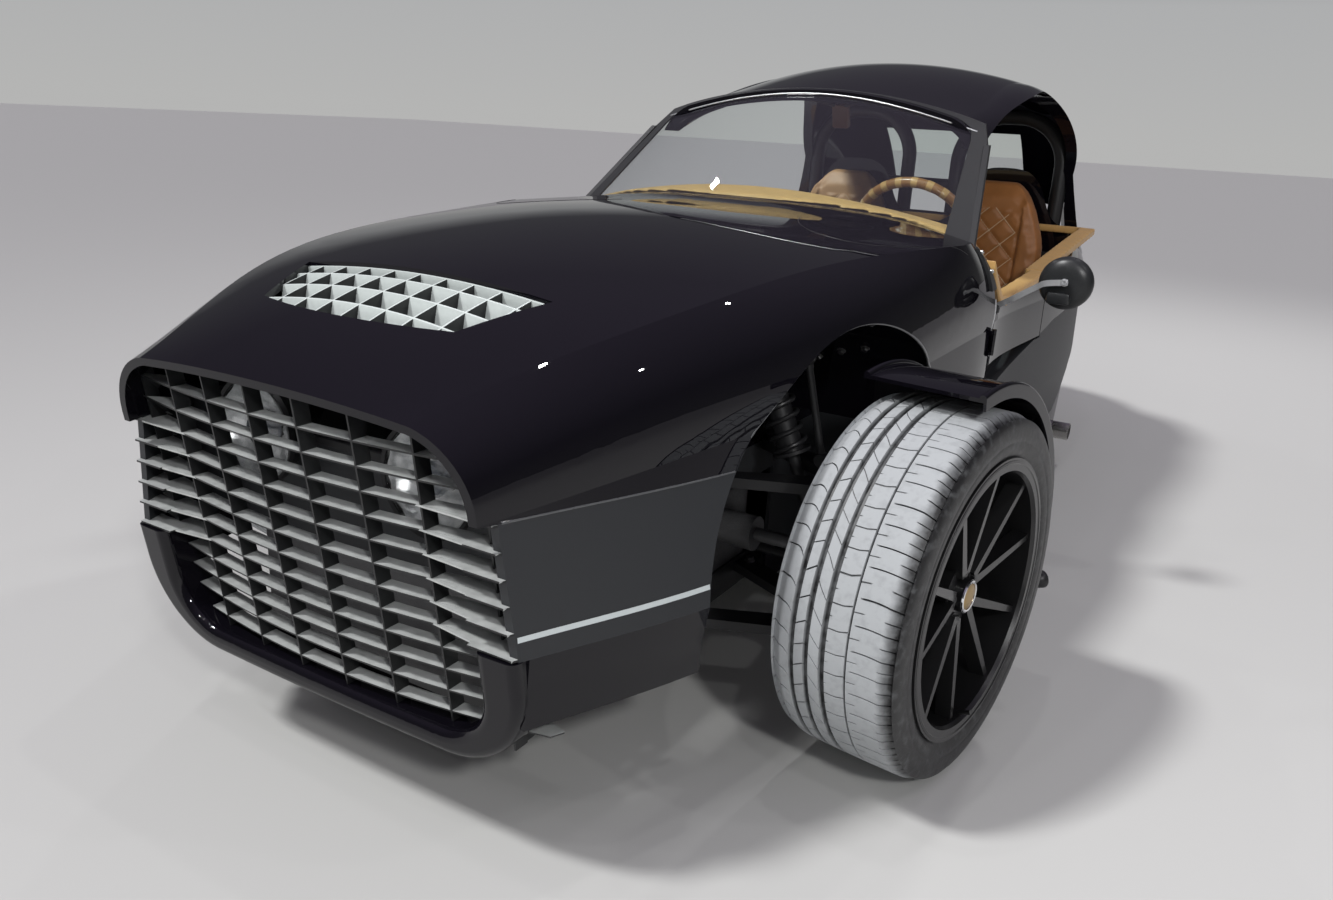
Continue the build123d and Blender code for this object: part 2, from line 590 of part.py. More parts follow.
roof_solid = roof_loft(0.0, ROOF_FOOT_Z)
roof_inside = roof_loft(ROOF_SKIN, ROOF_FOOT_Z - 60)
roof_shell = roof_solid - roof_inside
roof_shell -= roof_opening(0.0)
roof_rim = ((roof_solid - roof_loft(RIM_DEEP, ROOF_FOOT_Z - 60)) & roof_opening(RIM_W)) - roof_opening(0.0)
header = (roof_solid - roof_loft(HEADER_T, ROOF_FOOT_Z - 60)) & box(-720, 720, ROOF_FRONT_Y, ROOF_FRONT_Y + 16,
                                                                    1000, 1400)
hoop_leg_x = HOOP_X + HOOP_W / 2 - HOOP_R
for side in (-1, 1):
    roof_rim -= rod((side * hoop_leg_x, HOOP_Y, ROOF_FOOT_Z - 10), (side * hoop_leg_x, HOOP_Y, 1012), HOOP_R + 3.0)
roof_shell += header - roof_opening(0.0)
roof_shell += roof_rim
roof_shell -= body_loft(TAIL_STATIONS, 0.0, SILL_Z)
roof_shell -= hump
roof_shell -= flip(hump)
roof_shell = max(roof_shell.solids(), key=lambda part: part.volume)
rear_window = box(-255, 255, 1150, 1600, 860, 1085)
roof_shell -= rear_window
rear_glass = (roof_loft(3.0, ROOF_FOOT_Z) - roof_loft(7.0, ROOF_FOOT_Z - 60)) & rear_window

glass_room = screen_outline(GLASS_EDGE, GLASS_TOP_Z)
body_block = body_loft(NOSE_STATIONS, 0.0, SILL_Z) + body_loft(TAIL_STATIONS, 0.0, SILL_Z)
screen_glass = ((screen_band(1.0, GLASS_T) & glass_room) - body_block) - roof_solid
screen_glass = max(screen_glass.solids(), key=lambda part: part.volume)
screen_frame = (screen_band(0.0, PILLAR_T) & screen_outline(PILLAR_EDGE, PILLAR_TOP_Z)) - glass_room
nose_grown = body_loft(NOSE_STATIONS, -FOOT_T, SILL_Z)
nose_plain = body_loft(NOSE_STATIONS, 0.0, SILL_Z)
for side in (-1, 1):
    bar = [(side * 474, -62, 1052), (side * 488, -62, 1052), (side * 488, -46, 1052), (side * 474, -46, 1052)]
    screen_frame += prism(bar, (side * 74, -306, -250))
    lo, hi = sorted((side * 520.0, side * 640.0))
    screen_frame += (nose_grown & box(lo, hi, -392, NOSE_BACK_Y - 6, 745, 835)) - nose_plain
screen_frame -= body_block
screen_frame -= roof_solid
screen_frame = max(screen_frame.solids(), key=lambda part: part.volume)

# Dashboard with its padded roll between the windscreen and the cockpit
dash = prism_x([(-316, 640), (-316, 790), (NOSE_BACK_Y, 790), (NOSE_BACK_Y, 960), (-262, 960), (-205, 846),
                (-150, 790), (-190, 640)], -COCKPIT_X, COCKPIT_X)
dash &= body_loft(TAIL_STATIONS, -DASH_ROLL, SILL_Z)
dash -= above([(-331.0, 900.0), (-330.0, 815.0), (-290.0, 770.0), (-200.0, 706.0), (-100, 700)], 720) - \
    box(-500, 500, -400, 0, 0, 1000)
dash_roll = body_loft(NOSE_STATIONS, -DASH_ROLL, SILL_Z) - body_loft(NOSE_STATIONS, 0.0, SILL_Z)
dash_roll &= box(-500, 500, -460, NOSE_BACK_Y, 800, 1000)
dash += dash_roll
dash -= screen_band(-260.0, 260.0 + PILLAR_T + 1.0)
dash = max(dash.solids(), key=lambda part: part.volume)

# Roll hoops
hoop_foot = 700.0
hoop_wires = []
roll_hoops = Compound([])
for side in (-1, 1):
    x0 = side * HOOP_X - HOOP_W / 2 + HOOP_R
    x1 = side * HOOP_X + HOOP_W / 2 - HOOP_R
    top = HOOP_TOP_Z - HOOP_R
    low = top - HOOP_BEND
    cut = HOOP_BEND * (1 - math.sqrt(0.5))
    path = Wire([
        Edge.make_line((x0, HOOP_Y, hoop_foot), (x0, HOOP_Y, low)),
        Edge.make_three_point_arc((x0, HOOP_Y, low), (x0 + cut, HOOP_Y, top - cut),
                                  (x0 + HOOP_BEND, HOOP_Y, top)),
        Edge.make_line((x0 + HOOP_BEND, HOOP_Y, top), (x1 - HOOP_BEND, HOOP_Y, top)),
        Edge.make_three_point_arc((x1 - HOOP_BEND, HOOP_Y, top), (x1 - cut, HOOP_Y, top - cut),
                                  (x1, HOOP_Y, low)),
        Edge.make_line((x1, HOOP_Y, low), (x1, HOOP_Y, hoop_foot)),
    ])
    ring = Plane(origin=(x0, HOOP_Y, hoop_foot), z_dir=(0, 0, 1)) * Circle(HOOP_R)
    roll_hoops = roll_hoops + sweep(ring, path=path)
roll_hoops += rod((-HOOP_X, HOOP_Y, 900), (HOOP_X, HOOP_Y, 900), 18.0)
roll_hoops -= body_loft(TAIL_STATIONS, 0.0, SILL_Z)
roll_hoops -= tail_shell

# Seats: a shell profile with raised bolsters beside the middle panel, round at the top
SEAT_SIDE = [(430, 200), (430, 330), (470, 372), (880, 330), (952, 900), (972, 938), (996, 948), (1022, 938),
             (1040, 900), (1000, 420), (860, 215), (820, 200)]
SEAT_TOP = [(-176, 720), (-165, 760), (-137, 832), (-100, 895), (-57, 935), (0, 948), (57, 935), (100, 895),
            (137, 832), (165, 760), (176, 720)]


def seat_profile(x0, x1):
    slab = prism_x(SEAT_SIDE, SEAT_X + x0, SEAT_X + x1)
    return fillet(slab.edges().filter_by(Axis.X), 10)


panel = SEAT_PANEL_W / 2
seat_left = seat_profile(-SEAT_W / 2, -panel) + seat_profile(panel, SEAT_W / 2)
dipped = Pos(0, SEAT_PANEL_DIP, -SEAT_PANEL_DIP) * seat_profile(-panel, panel)
seat_left += dipped & prism_x(SEAT_SIDE, SEAT_X - panel, SEAT_X + panel)
crown = [Vector(SEAT_X + x, 300, z) for x, z in SEAT_TOP]
low_a = Vector(SEAT_X - SEAT_W / 2, 300, 100)
low_b = Vector(SEAT_X + SEAT_W / 2, 300, 100)
side_a = Vector(SEAT_X - SEAT_W / 2, 300, 600)
side_b = Vector(SEAT_X + SEAT_W / 2, 300, 600)
seat_front = Face(Wire([
    Edge.make_line(low_b, low_a),
    Edge.make_line(low_a, side_a),
    Edge.make_line(side_a, crown[0]),
    Edge.make_spline(crown),
    Edge.make_line(crown[-1], side_b),
    Edge.make_line(side_b, low_b),
]))
seat_left &= Solid.extrude(seat_front, Vector(0, 758, 0))
seat_left += box(SEAT_X - 150, SEAT_X + 150, 460, 815, FLOOR_Z, 205)

# Steering column and wheel
tilt = math.radians(WHEEL_TILT)
normal = Vector(0, math.cos(tilt), math.sin(tilt))
hub = Vector(*WHEEL_POS)
column_start = hub - normal * 250
column_end = hub - normal * 30
steering_column = rod(tuple(column_start), tuple(column_end), 28.0)
steering_column += rod(tuple(column_end), tuple(hub - normal * 4), 10.0)
steering_column -= dash
wheel_plane = Plane(origin=hub, x_dir=(1, 0, 0), z_dir=normal)
steering_wheel = wheel_plane * Torus(WHEEL_R - 14, 14)
steering_wheel += wheel_plane * Pos(0, 0, -6) * Cylinder(42, 24)
for angle in (90.0, 210.0, 330.0):
    a = math.radians(angle)
    reach = WHEEL_R - 18
    steering_wheel += wheel_plane * Pos(0, 0, -3) * Rot(0, 0, angle) * Pos(reach / 2, 0, 0) * Box(reach, 30, 6)
steering_wheel -= wheel_plane * Pos(0, 0, -14) * Cylinder(10 + RUN_GAP, 24)

# Front suspension on the left side
HUB_Z = FRONT_TYRE_R
LOW_EYE = (HUB_Z - 150.0, HUB_Z - 131.0)
UP_EYE = (HUB_Z + 131.0, HUB_Z + 150.0)


def wishbone(z0, z1, root_x, half_root, width):
    y = FRONT_AXLE_Y
    outer = [(KINGPIN_X, y - 24), (KINGPIN_X, y + 24), (root_x, y + half_root + width / 2),
             (root_x, y + half_root - width / 2 - 8), (root_x, y - half_root + width / 2 + 8),
             (root_x, y - half_root - width / 2)]
    plate = prism_z(outer, z0, z1)
    tip = KINGPIN_X - 95.0
    gap = [(tip, y - 4), (tip, y + 4), (root_x - 10, y + half_root - width / 2),
           (root_x - 10, y - half_root + width / 2)]
    plate -= prism_z(gap, z0 - 5, z1 + 5)
    plate += rod((KINGPIN_X, y, z0), (KINGPIN_X, y, z1), 26.0)
    plate -= rod((KINGPIN_X, y, z0 - 5), (KINGPIN_X, y, z1 + 5), 10.0 + RUN_GAP)
    return plate


lower_arm_left = wishbone(LOW_EYE[0], LOW_EYE[1], 300.0, 150.0, 44.0)
upper_arm_left = wishbone(UP_EYE[0], UP_EYE[1], ARCH_WALL_X, 140.0, 30.0)
SHOCK_Y = FRONT_AXLE_Y + 35.0
shock_left = rod((372, SHOCK_Y, 655), (566, SHOCK_Y, LOW_EYE[1] + 10), 12.0)
shock_left += rod((372, SHOCK_Y, 655), (442, SHOCK_Y, 492), 24.0)
shock_left += rod((ARCH_WALL_X, SHOCK_Y, 664), (384, SHOCK_Y, 664), 16.0)
shock_left += box(552, 586, SHOCK_Y - 14, SHOCK_Y + 14, LOW_EYE[1], LOW_EYE[1] + 16)
tie_rod_left = rod((295, FRONT_AXLE_Y + 110, HUB_Z - 76), (HALF_TRACK - 130, FRONT_AXLE_Y + 110, HUB_Z - 76), 9.0)
tie_rod_left += rod((HALF_TRACK - 127, FRONT_AXLE_Y + 110, HUB_Z - 84),
                    (HALF_TRACK - 127, FRONT_AXLE_Y + 110, HUB_Z - 67), 15.0)


def turned(shape, side):
    """Turn a straight-ahead shape about its kingpin by the steering angle."""
    x = side * KINGPIN_X
    return Pos(x, FRONT_AXLE_Y, 0) * Rot(0, 0, STEER_DEG) * Pos(-x, -FRONT_AXLE_Y, 0) * shape


def at_hub(shape):
    return Pos(HALF_TRACK, FRONT_AXLE_Y, HUB_Z) * shape


knuckle = box(-110, -62, -45, 45, -130, 130)
knuckle += rod((-62, 0, 0), (-4, 0, 0), 20.0)
knuckle += rod((-KINGPIN_IN, 0, -156), (-KINGPIN_IN, 0, 156), 10.0)
knuckle += box(-80, -62, -112, -40, -30, 30)
caliper = box(-62, -8, -172, -100, -55, 55) - box(-46, -22, -160, 0, -60, 60)
knuckle += caliper
knuckle += prism_z([(-110, 30), (-70, 30), (-112, 125), (-140, 125)], -60, -44)
knuckle += box(-122, -110, 8, 44, -28, 48)
bracket = prism_x([(0, -30), (0, 50), (115, 92), (162, 328), (200, 309), (188, 115), (327, 152), (338, 117),
                   (192, 38), (44, -30)], -128, -122)
knuckle += bracket

FENDER_IN = 361.0
FENDER_OUT = 368.0
FENDER_X0 = -122.0
FENDER_X1 = 92.0
FENDER_BEAD_R = 6.0


def ring_x(r0, r1, x0, x1):
    return rod((x0, 0, 0), (x1, 0, 0), r1) - rod((x0 - 1, 0, 0), (x1 + 1, 0, 0), r0)


def wedge(start_deg, end_deg, reach, x0, x1):
    """Pie slice seen from the side; angles from straight up towards the rear."""
    pts = [(0.0, 0.0)]
    steps = 8
    for i in range(steps + 1):
        a = math.radians(start_deg + (end_deg - start_deg) * i / steps)
        pts.append((reach * math.sin(a), reach * math.cos(a)))
    return prism_x(pts, x0, x1)


fender = ring_x(FENDER_IN, FENDER_OUT, FENDER_X0, FENDER_X1)
fender += ring_x(FENDER_IN - 14, FENDER_OUT, FENDER_X1 - 5, FENDER_X1)
for x in (FENDER_X0 + FENDER_BEAD_R, FENDER_X1 - FENDER_BEAD_R):
    fender += Pos(x, 0, 0) * Rot(0, 90, 0) * Torus(FENDER_OUT, FENDER_BEAD_R)
fender &= wedge(-11.0, 112.0, 900.0, -200, 200)


def tyre(radius, width, name_r):
    w = width / 2
    r = radius
    outline = [(-w + 9, name_r), (-w + 9, name_r + 16), (-w, name_r + 26), (-w, r - 30), (-w + 4, r - 16),
               (-w + 13, r - 6), (-w + 32, r), (w - 32, r), (w - 13, r - 6), (w - 4, r - 16), (w, r - 30),
               (w, name_r + 26), (w - 9, name_r + 16), (w - 9, name_r)]
    face = Face(Wire.make_polygon([Vector(x, 0, z) for x, z in outline], close=True))
    return revolve(face, axis=Axis.X)


def spoke(side_x, lean, rim_r):
    """Slim tapered spoke from the hub out to the rim; lean moves its outer end along the rim."""
    root_y = 6.0 if lean > 0 else -6.0
    root = [(side_x - 62, root_y - 11, 40), (side_x - 62, root_y + 11, 40), (side_x - 34, root_y + 9, 40),
            (side_x - 34, root_y - 9, 40)]
    z = math.sqrt((rim_r - 5) ** 2 - lean ** 2)
    tip = [(side_x - 42, lean - 9, z), (side_x - 42, lean + 9, z), (side_x - 14, lean + 6, z),
           (side_x - 14, lean - 6, z)]
    wires = [Wire.make_polygon([Vector(*p) for p in ring], close=True) for ring in (root, tip)]
    return Solid.make_loft(wires, ruled=True)


def rim(width, rim_r, disc_r, hub_r, bore):
    w = width / 2
    barrel = [(-w + 9, rim_r - 14), (-w + 2, rim_r - 10), (-w + 2, rim_r + 12), (-w + 9, rim_r + 12),
              (-w + 9, rim_r), (w - 9, rim_r), (w - 9, rim_r + 12), (w - 2, rim_r + 12),
              (w - 2, rim_r - 10), (w - 9, rim_r - 14)]
    face = Face(Wire.make_polygon([Vector(x, 0, z) for x, z in barrel], close=True))
    shape = revolve(face, axis=Axis.X)
    shape += rod((-18, 0, 0), (w - 44, 0, 0), hub_r)
    for i in range(SPOKE_PAIRS):
        for lean in (-SPOKE_SPREAD, SPOKE_SPREAD):
            shape += Rot(SPOKE_PHASE + i * 360.0 / SPOKE_PAIRS, 0, 0) * spoke(w, lean, rim_r)
    shape += rod((w - 60, 0, 0), (w - 28, 0, 0), 30.0)
    shape += rod((-40, 0, 0), (-28, 0, 0), disc_r)
    shape += rod((-40, 0, 0), (-17, 0, 0), hub_r - 8)
    shape -= rod((-60, 0, 0), (0, 0, 0), bore + RUN_GAP)
    return shape


front_tyre = tyre(FRONT_TYRE_R, FRONT_TYRE_W, RIM_R)
front_rim = rim(FRONT_TYRE_W, RIM_R, 150.0, 60.0, 20.0)

left_fixed = {
    "lower_arm": lower_arm_left,
    "upper_arm": upper_arm_left,
    "shock": shock_left,
    "tie_rod": tie_rod_left,
    "door": door_left,
    "door_pad": door_pad_left,
    "mirror": mirror_left,
    "tail_lamp": tail_lamp,
    "seat": seat_left,
}
left_turned = {
    "knuckle": at_hub(knuckle),
    "fender": at_hub(fender),
    "tyre": at_hub(front_tyre),
    "rim": at_hub(front_rim),
}

# Rear wheel and swing arm
rear_tyre = Pos(0, REAR_AXLE_Y, REAR_TYRE_R) * tyre(REAR_TYRE_R, REAR_TYRE_W, RIM_R)
w = REAR_TYRE_W / 2
rear_rim = rod((-70, 0, 0), (70, 0, 0), 45.0)
barrel = [(-w + 9, RIM_R - 14), (-w + 2, RIM_R - 10), (-w + 2, RIM_R + 12), (-w + 9, RIM_R + 12),
          (-w + 9, RIM_R), (w - 9, RIM_R), (w - 9, RIM_R + 12), (w - 2, RIM_R + 12), (w - 2, RIM_R - 10),
          (w - 9, RIM_R - 14)]
rear_rim += revolve(Face(Wire.make_polygon([Vector(x, 0, z) for x, z in barrel], close=True)), axis=Axis.X)
for i in range(10):
    rear_rim += Rot(i * 36.0, 0, 0) * box(-15, 15, -11, 11, 40, RIM_R - 6)
rear_rim -= rod((-200, 0, 0), (200, 0, 0), 12.0 + RUN_GAP)
rear_rim = Pos(0, REAR_AXLE_Y, REAR_TYRE_R) * rear_rim

swing_arm = box(-190, 190, 1095, 1145, REAR_TYRE_R - 40, REAR_TYRE_R + 40)
swing_arm += box(-90, 90, COCKPIT_BACK_Y, 1115, REAR_TYRE_R - 20, 470)
for side in (-1, 1):
    lo, hi = sorted((side * 152.0, side * 186.0))
    swing_arm += prism_x([(1100, REAR_TYRE_R - 38), (1520, REAR_TYRE_R - 26), (1530, REAR_TYRE_R),
                          (1520, REAR_TYRE_R + 26), (1100, REAR_TYRE_R + 38)], lo, hi)
swing_arm += rod((-186, REAR_AXLE_Y, REAR_TYRE_R), (186, REAR_AXLE_Y, REAR_TYRE_R), 12.0)

# Exhaust across the rear, out on both sides
exhaust = rod((-645, 960, 108), (645, 960, 108), 30.0)
exhaust -= rod((-660, 960, 108), (-540, 960, 108), 26.0)
exhaust -= rod((540, 960, 108), (660, 960, 108), 26.0)
exhaust += box(-180, 180, 900, 1020, 80, 145)
for x in (-400.0, 400.0):
    exhaust += prism_x([(952, 110), (968, 110), (968, floor_low + rise * (968 - SKIRT_END_Y)),
                        (952, floor_low + rise * (952 - SKIRT_END_Y))], x - 8, x + 8)

parts = {
    "nose_shell": nose_shell,
    "hood_vent": hood_vent,
    "band_front": band_front,
    "chin": chin,
    "grille": grille,
    "headlamps": headlamps,
    "radiator": radiator,
    "engine": engine,
    "tub": tub,
    "tail_shell": tail_shell,
    "band_rear_left": band_zone & left_room,
    "band_rear_right": band_zone & right_room,
    "skirt_left": skirt_zone & left_room,
    "skirt_right": skirt_zone & right_room,
    "rim_pad": rim_pad,
    "dash": dash,
    "screen_glass": screen_glass,
    "screen_frame": screen_frame,
    "roof_shell": roof_shell,
    "rear_glass": rear_glass,
    "roll_hoops": roll_hoops,
    "steering_column": steering_column,
    "steering_wheel": steering_wheel,
    "rear_tyre": rear_tyre,
    "rear_rim": rear_rim,
    "swing_arm": swing_arm,
    "exhaust": exhaust,
}
for name, shape in left_fixed.items():
    parts[name + "_left"] = shape
    parts[name + "_right"] = flip(shape)
for name, shape in left_turned.items():
    parts[name + "_left"] = turned(shape, 1)
    parts[name + "_right"] = turned(flip(shape), -1)

for name, shape in parts.items():
    export_step(shape, "parts/" + name + ".step")
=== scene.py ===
import json
import random
from math import cos, pi, radians, sin

import bmesh
import bpy
import numpy as np
from mathutils import Matrix, Vector
from mathutils.bvhtree import BVHTree


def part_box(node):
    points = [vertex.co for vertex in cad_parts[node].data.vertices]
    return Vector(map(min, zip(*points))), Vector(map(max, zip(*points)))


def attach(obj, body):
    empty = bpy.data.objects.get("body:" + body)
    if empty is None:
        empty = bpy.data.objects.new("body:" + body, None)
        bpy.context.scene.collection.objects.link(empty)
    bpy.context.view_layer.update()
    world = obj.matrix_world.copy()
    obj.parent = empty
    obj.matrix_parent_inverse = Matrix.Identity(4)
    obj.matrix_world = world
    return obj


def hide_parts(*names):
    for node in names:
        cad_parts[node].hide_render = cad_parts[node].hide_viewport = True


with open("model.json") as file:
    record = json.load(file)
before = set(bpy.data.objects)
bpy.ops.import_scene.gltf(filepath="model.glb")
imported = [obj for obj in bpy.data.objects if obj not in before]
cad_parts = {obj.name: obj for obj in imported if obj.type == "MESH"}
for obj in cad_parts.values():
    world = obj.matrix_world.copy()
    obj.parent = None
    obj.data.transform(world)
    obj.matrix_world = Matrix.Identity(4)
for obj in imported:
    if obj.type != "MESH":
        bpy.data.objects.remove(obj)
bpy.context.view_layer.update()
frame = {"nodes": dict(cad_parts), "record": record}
nodes = frame["nodes"]

SIDES = (("left", 1), ("right", -1))
ORIGIN, X_AXIS, Y_AXIS, Z_AXIS = (0, 0, 0), (1, 0, 0), (0, 1, 0), (0, 0, 1)


def new_object(name, data):
    """A new object, put into the scene."""
    obj = bpy.data.objects.new(name, data)
    bpy.context.scene.collection.objects.link(obj)
    return obj


# Camera, solved from the photograph
CAMERA_AT = (1.1559, -2.7216, 1.0711)
FOCAL_PIXELS, PHOTO_PIXELS, SENSOR = 1024.2, 1333, 36
YAW, PITCH, ROLL = radians(29.992), radians(17.876), radians(3.1594)
forward = Vector((-sin(YAW) * cos(PITCH), cos(YAW) * cos(PITCH),
                  -sin(PITCH)))
level = Vector((cos(YAW), sin(YAW), 0))
lift = level.cross(forward)
right = cos(ROLL) * level + sin(ROLL) * lift
up = -sin(ROLL) * level + cos(ROLL) * lift
cam_data = bpy.data.cameras.new("camera")
cam_data.lens = SENSOR * FOCAL_PIXELS / PHOTO_PIXELS
cam_data.sensor_width = SENSOR
cam_data.sensor_fit = "HORIZONTAL"
camera = new_object("camera", cam_data)
turn = Matrix((right, up, -forward)).transposed()
camera.matrix_world = Matrix.Translation(CAMERA_AT) @ turn.to_4x4()
bpy.context.scene.camera = camera


# Materials. Inputs 6 and 7 of a colour mix, and 2 and 3 of a number mix, are its two ends
def blank(name, inputs):
    """A new material, its node tree, and its shader with these inputs set."""
    m = bpy.data.materials.new(name)
    m.use_nodes = True
    shader = m.node_tree.nodes["Principled BSDF"]
    for key, value in inputs.items():
        shader.inputs[key].default_value = value
    return m, m.node_tree, shader


def new_node(nt, kind, inputs=None, **settings):
    """A shader node with these settings and inputs."""
    made = nt.nodes.new("ShaderNode" + kind)
    for key, value in settings.items():
        setattr(made, key, value)
    for key, value in (inputs or {}).items():
        made.inputs[key].default_value = value
    return made


def material(name, colour, rough=0.4, metal=0.0, coat=0.0, vary=0.15, scale=40.0, bump=0.0,
             bump_scale=None, detail=4.0, second=None, rough_vary=0.08, sheen=0.0, spec=None,
             coat_rough=0.03):
    """A surface with noise in its colour, roughness and relief."""
    m, nt, shader = blank(name, {"Metallic": metal, "Coat Weight": coat, "Coat Roughness": coat_rough,
                                 "Sheen Weight": sheen})
    if spec is not None:
        shader.inputs["Specular IOR Level"].default_value = spec
    place = new_node(nt, "TexCoord")
    noise = new_node(nt, "TexNoise", {"Scale": scale, "Detail": detail})
    nt.links.new(place.outputs["Object"], noise.inputs["Vector"])
    dark = [c * (1 - vary) for c in colour]
    light = second or [min(1, c * (1 + vary)) for c in colour]
    mix = new_node(nt, "Mix", {6: (*dark, 1), 7: (*light, 1)}, data_type="RGBA")
    nt.links.new(noise.outputs["Fac"], mix.inputs[0])
    nt.links.new(mix.outputs[2], shader.inputs["Base Color"])
    ramp = new_node(nt, "MapRange", {"To Min": max(0.0, rough - rough_vary),
                                     "To Max": min(1.0, rough + rough_vary)})
    nt.links.new(noise.outputs["Fac"], ramp.inputs["Value"])
    nt.links.new(ramp.outputs["Result"], shader.inputs["Roughness"])
    if bump:
        fine = new_node(nt, "TexNoise", {"Scale": bump_scale or scale * 6, "Detail": 3})
        nt.links.new(place.outputs["Object"], fine.inputs["Vector"])
        bmp = new_node(nt, "Bump", {"Strength": bump, "Distance": 0.001})
        nt.links.new(fine.outputs["Fac"], bmp.inputs["Height"])
        nt.links.new(bmp.outputs["Normal"], shader.inputs["Normal"])
    return m


def glass(name, colour):
    """Clear glass: it hardly bends light, its coat reflects, and lamps and soft light pass through."""
    m, nt, shader = blank(name, {
        "Base Color": (*colour, 1), "Roughness": 0.0, "Transmission Weight": 1.0, "IOR": 1.01,
        "Coat Weight": 1.0, "Coat IOR": 1.5, "Coat Roughness": 0.0})
    through = new_node(nt, "BsdfTransparent", {"Color": (*colour, 1)})
    kind = new_node(nt, "LightPath")
    either = new_node(nt, "Math", operation="MAXIMUM")
    nt.links.new(kind.outputs["Is Shadow Ray"], either.inputs[0])
    nt.links.new(kind.outputs["Is Diffuse Ray"], either.inputs[1])
    mix = new_node(nt, "MixShader")
    nt.links.new(either.outputs[0], mix.inputs[0])
    nt.links.new(shader.outputs[0], mix.inputs[1])
    nt.links.new(through.outputs[0], mix.inputs[2])
    nt.links.new(mix.outputs[0], nt.nodes["Material Output"].inputs["Surface"])
    return m


def dusty(name):
    """Tyre rubber: black and slightly shiny, with pale dust where the attribute says."""
    m = material(name, (0.011, 0.011, 0.0115), rough=0.42, vary=0.2, scale=90, bump=0.15,
                 bump_scale=900)
    nt = m.node_tree
    shader = nt.nodes["Principled BSDF"]
    noise = nt.nodes["Noise Texture"]
    black = shader.inputs["Base Color"].links[0].from_socket
    rough = shader.inputs["Roughness"].links[0].from_socket
    dust = new_node(nt, "Attribute", attribute_name="dust")
    speck = new_node(nt, "TexNoise", {"Scale": 70, "Detail": 6})
    nt.links.new(noise.inputs["Vector"].links[0].from_socket, speck.inputs["Vector"])
    sway = new_node(nt, "MapRange", {"From Min": 0.3, "From Max": 0.7, "To Min": -0.14, "To Max": 0.14})
    nt.links.new(speck.outputs["Fac"], sway.inputs["Value"])
    total = new_node(nt, "Math", operation="ADD", use_clamp=True)
    nt.links.new(dust.outputs["Fac"], total.inputs[0])
    nt.links.new(sway.outputs["Result"], total.inputs[1])
    pale = new_node(nt, "Mix", {7: (0.36, 0.375, 0.385, 1)}, data_type="RGBA")
    nt.links.new(total.outputs[0], pale.inputs[0])
    nt.links.new(black, pale.inputs[6])
    nt.links.new(pale.outputs[2], shader.inputs["Base Color"])
    flat = new_node(nt, "Mix", {3: 0.85}, data_type="FLOAT")
    nt.links.new(total.outputs[0], flat.inputs[0])
    nt.links.new(rough, flat.inputs[2])
    nt.links.new(flat.outputs[0], shader.inputs["Roughness"])
    return m


def striped(name, colour, dark, scale, axis, rough=0.45, metal=0.6):
    """Metal with fine parallel fins along one axis, drawn as colour stripes; the dark stripes are painted
    shade in the gaps between fins.
    """
    m = material(name, colour, rough=rough, metal=metal, vary=0.2, scale=60)
    nt = m.node_tree
    shader = nt.nodes["Principled BSDF"]
    wave = new_node(nt, "TexWave", {"Scale": scale, "Distortion": 0.4}, bands_direction=axis)
    nt.links.new(nt.nodes["Texture Coordinate"].outputs["Object"], wave.inputs["Vector"])
    # Dark stripes: painted shade between the fins
    mix = new_node(nt, "Mix", {6: (*dark, 1)}, data_type="RGBA")
    nt.links.new(wave.outputs["Fac"], mix.inputs[0])
    nt.links.new(shader.inputs["Base Color"].links[0].from_socket, mix.inputs[7])
    nt.links.new(mix.outputs[2], shader.inputs["Base Color"])
    return m


paint = material("paint_black", (0.004, 0.0035, 0.0055), rough=0.22, coat=0.75, vary=0.5, scale=1400,
                 rough_vary=0.04, spec=0.0, coat_rough=0.015)
band = material("band_grey", (0.020, 0.0215, 0.024), rough=0.5, vary=0.15, scale=300, bump=0.05)
satin = material("satin_black", (0.011, 0.011, 0.012), rough=0.42, vary=0.2, scale=120, bump=0.08)
blade = material("blade_black", (0.010, 0.0105, 0.011), rough=0.36, vary=0.15, scale=160, bump=0.05)
# Pale colour for the upper faces of the black grille blades: painted sheen of the light they catch
blade_top_painted_sheen = material("blade_top_painted_sheen", (0.40, 0.415, 0.405), rough=0.38, vary=0.35, scale=45, bump=0.05)
edge_grey_and_painted_highlight = material("edge_grey_and_painted_highlight", (0.10, 0.103, 0.106), rough=0.3, coat=0.5, vary=0.1, scale=120)
projector = material("projector", (0.12, 0.13, 0.15), rough=0.05, coat=1.0, vary=0.1, scale=60,
                     rough_vary=0.02)
# The chrome reflector gets a pale, patchy colour as a painted reflection of the studio lights
facet = material("lamp_facets_painted_reflection", (0.72, 0.75, 0.80), rough=0.2, metal=0.4, coat=0.8, vary=0.7, scale=70)
dull = material("dull_black", (0.018, 0.019, 0.020), rough=0.33, vary=0.4, scale=300, spec=0.35,
                bump=0.05)
brown = material("brown_leather", (0.10, 0.045, 0.025), rough=0.5, vary=0.2, scale=60, bump=0.4,
                 bump_scale=900)
matte = material("matte_grey", (0.016, 0.0165, 0.0175), rough=0.5, vary=0.15, scale=200, bump=0.15)
vent = material("vent_grey", (0.58, 0.63, 0.61), rough=0.42, vary=0.08, scale=120, bump=0.05)
leather_tan = material("trim_tan", (0.56, 0.33, 0.11), rough=0.5, vary=0.15, scale=35, bump=0.5,
                       bump_scale=900, sheen=0.1)
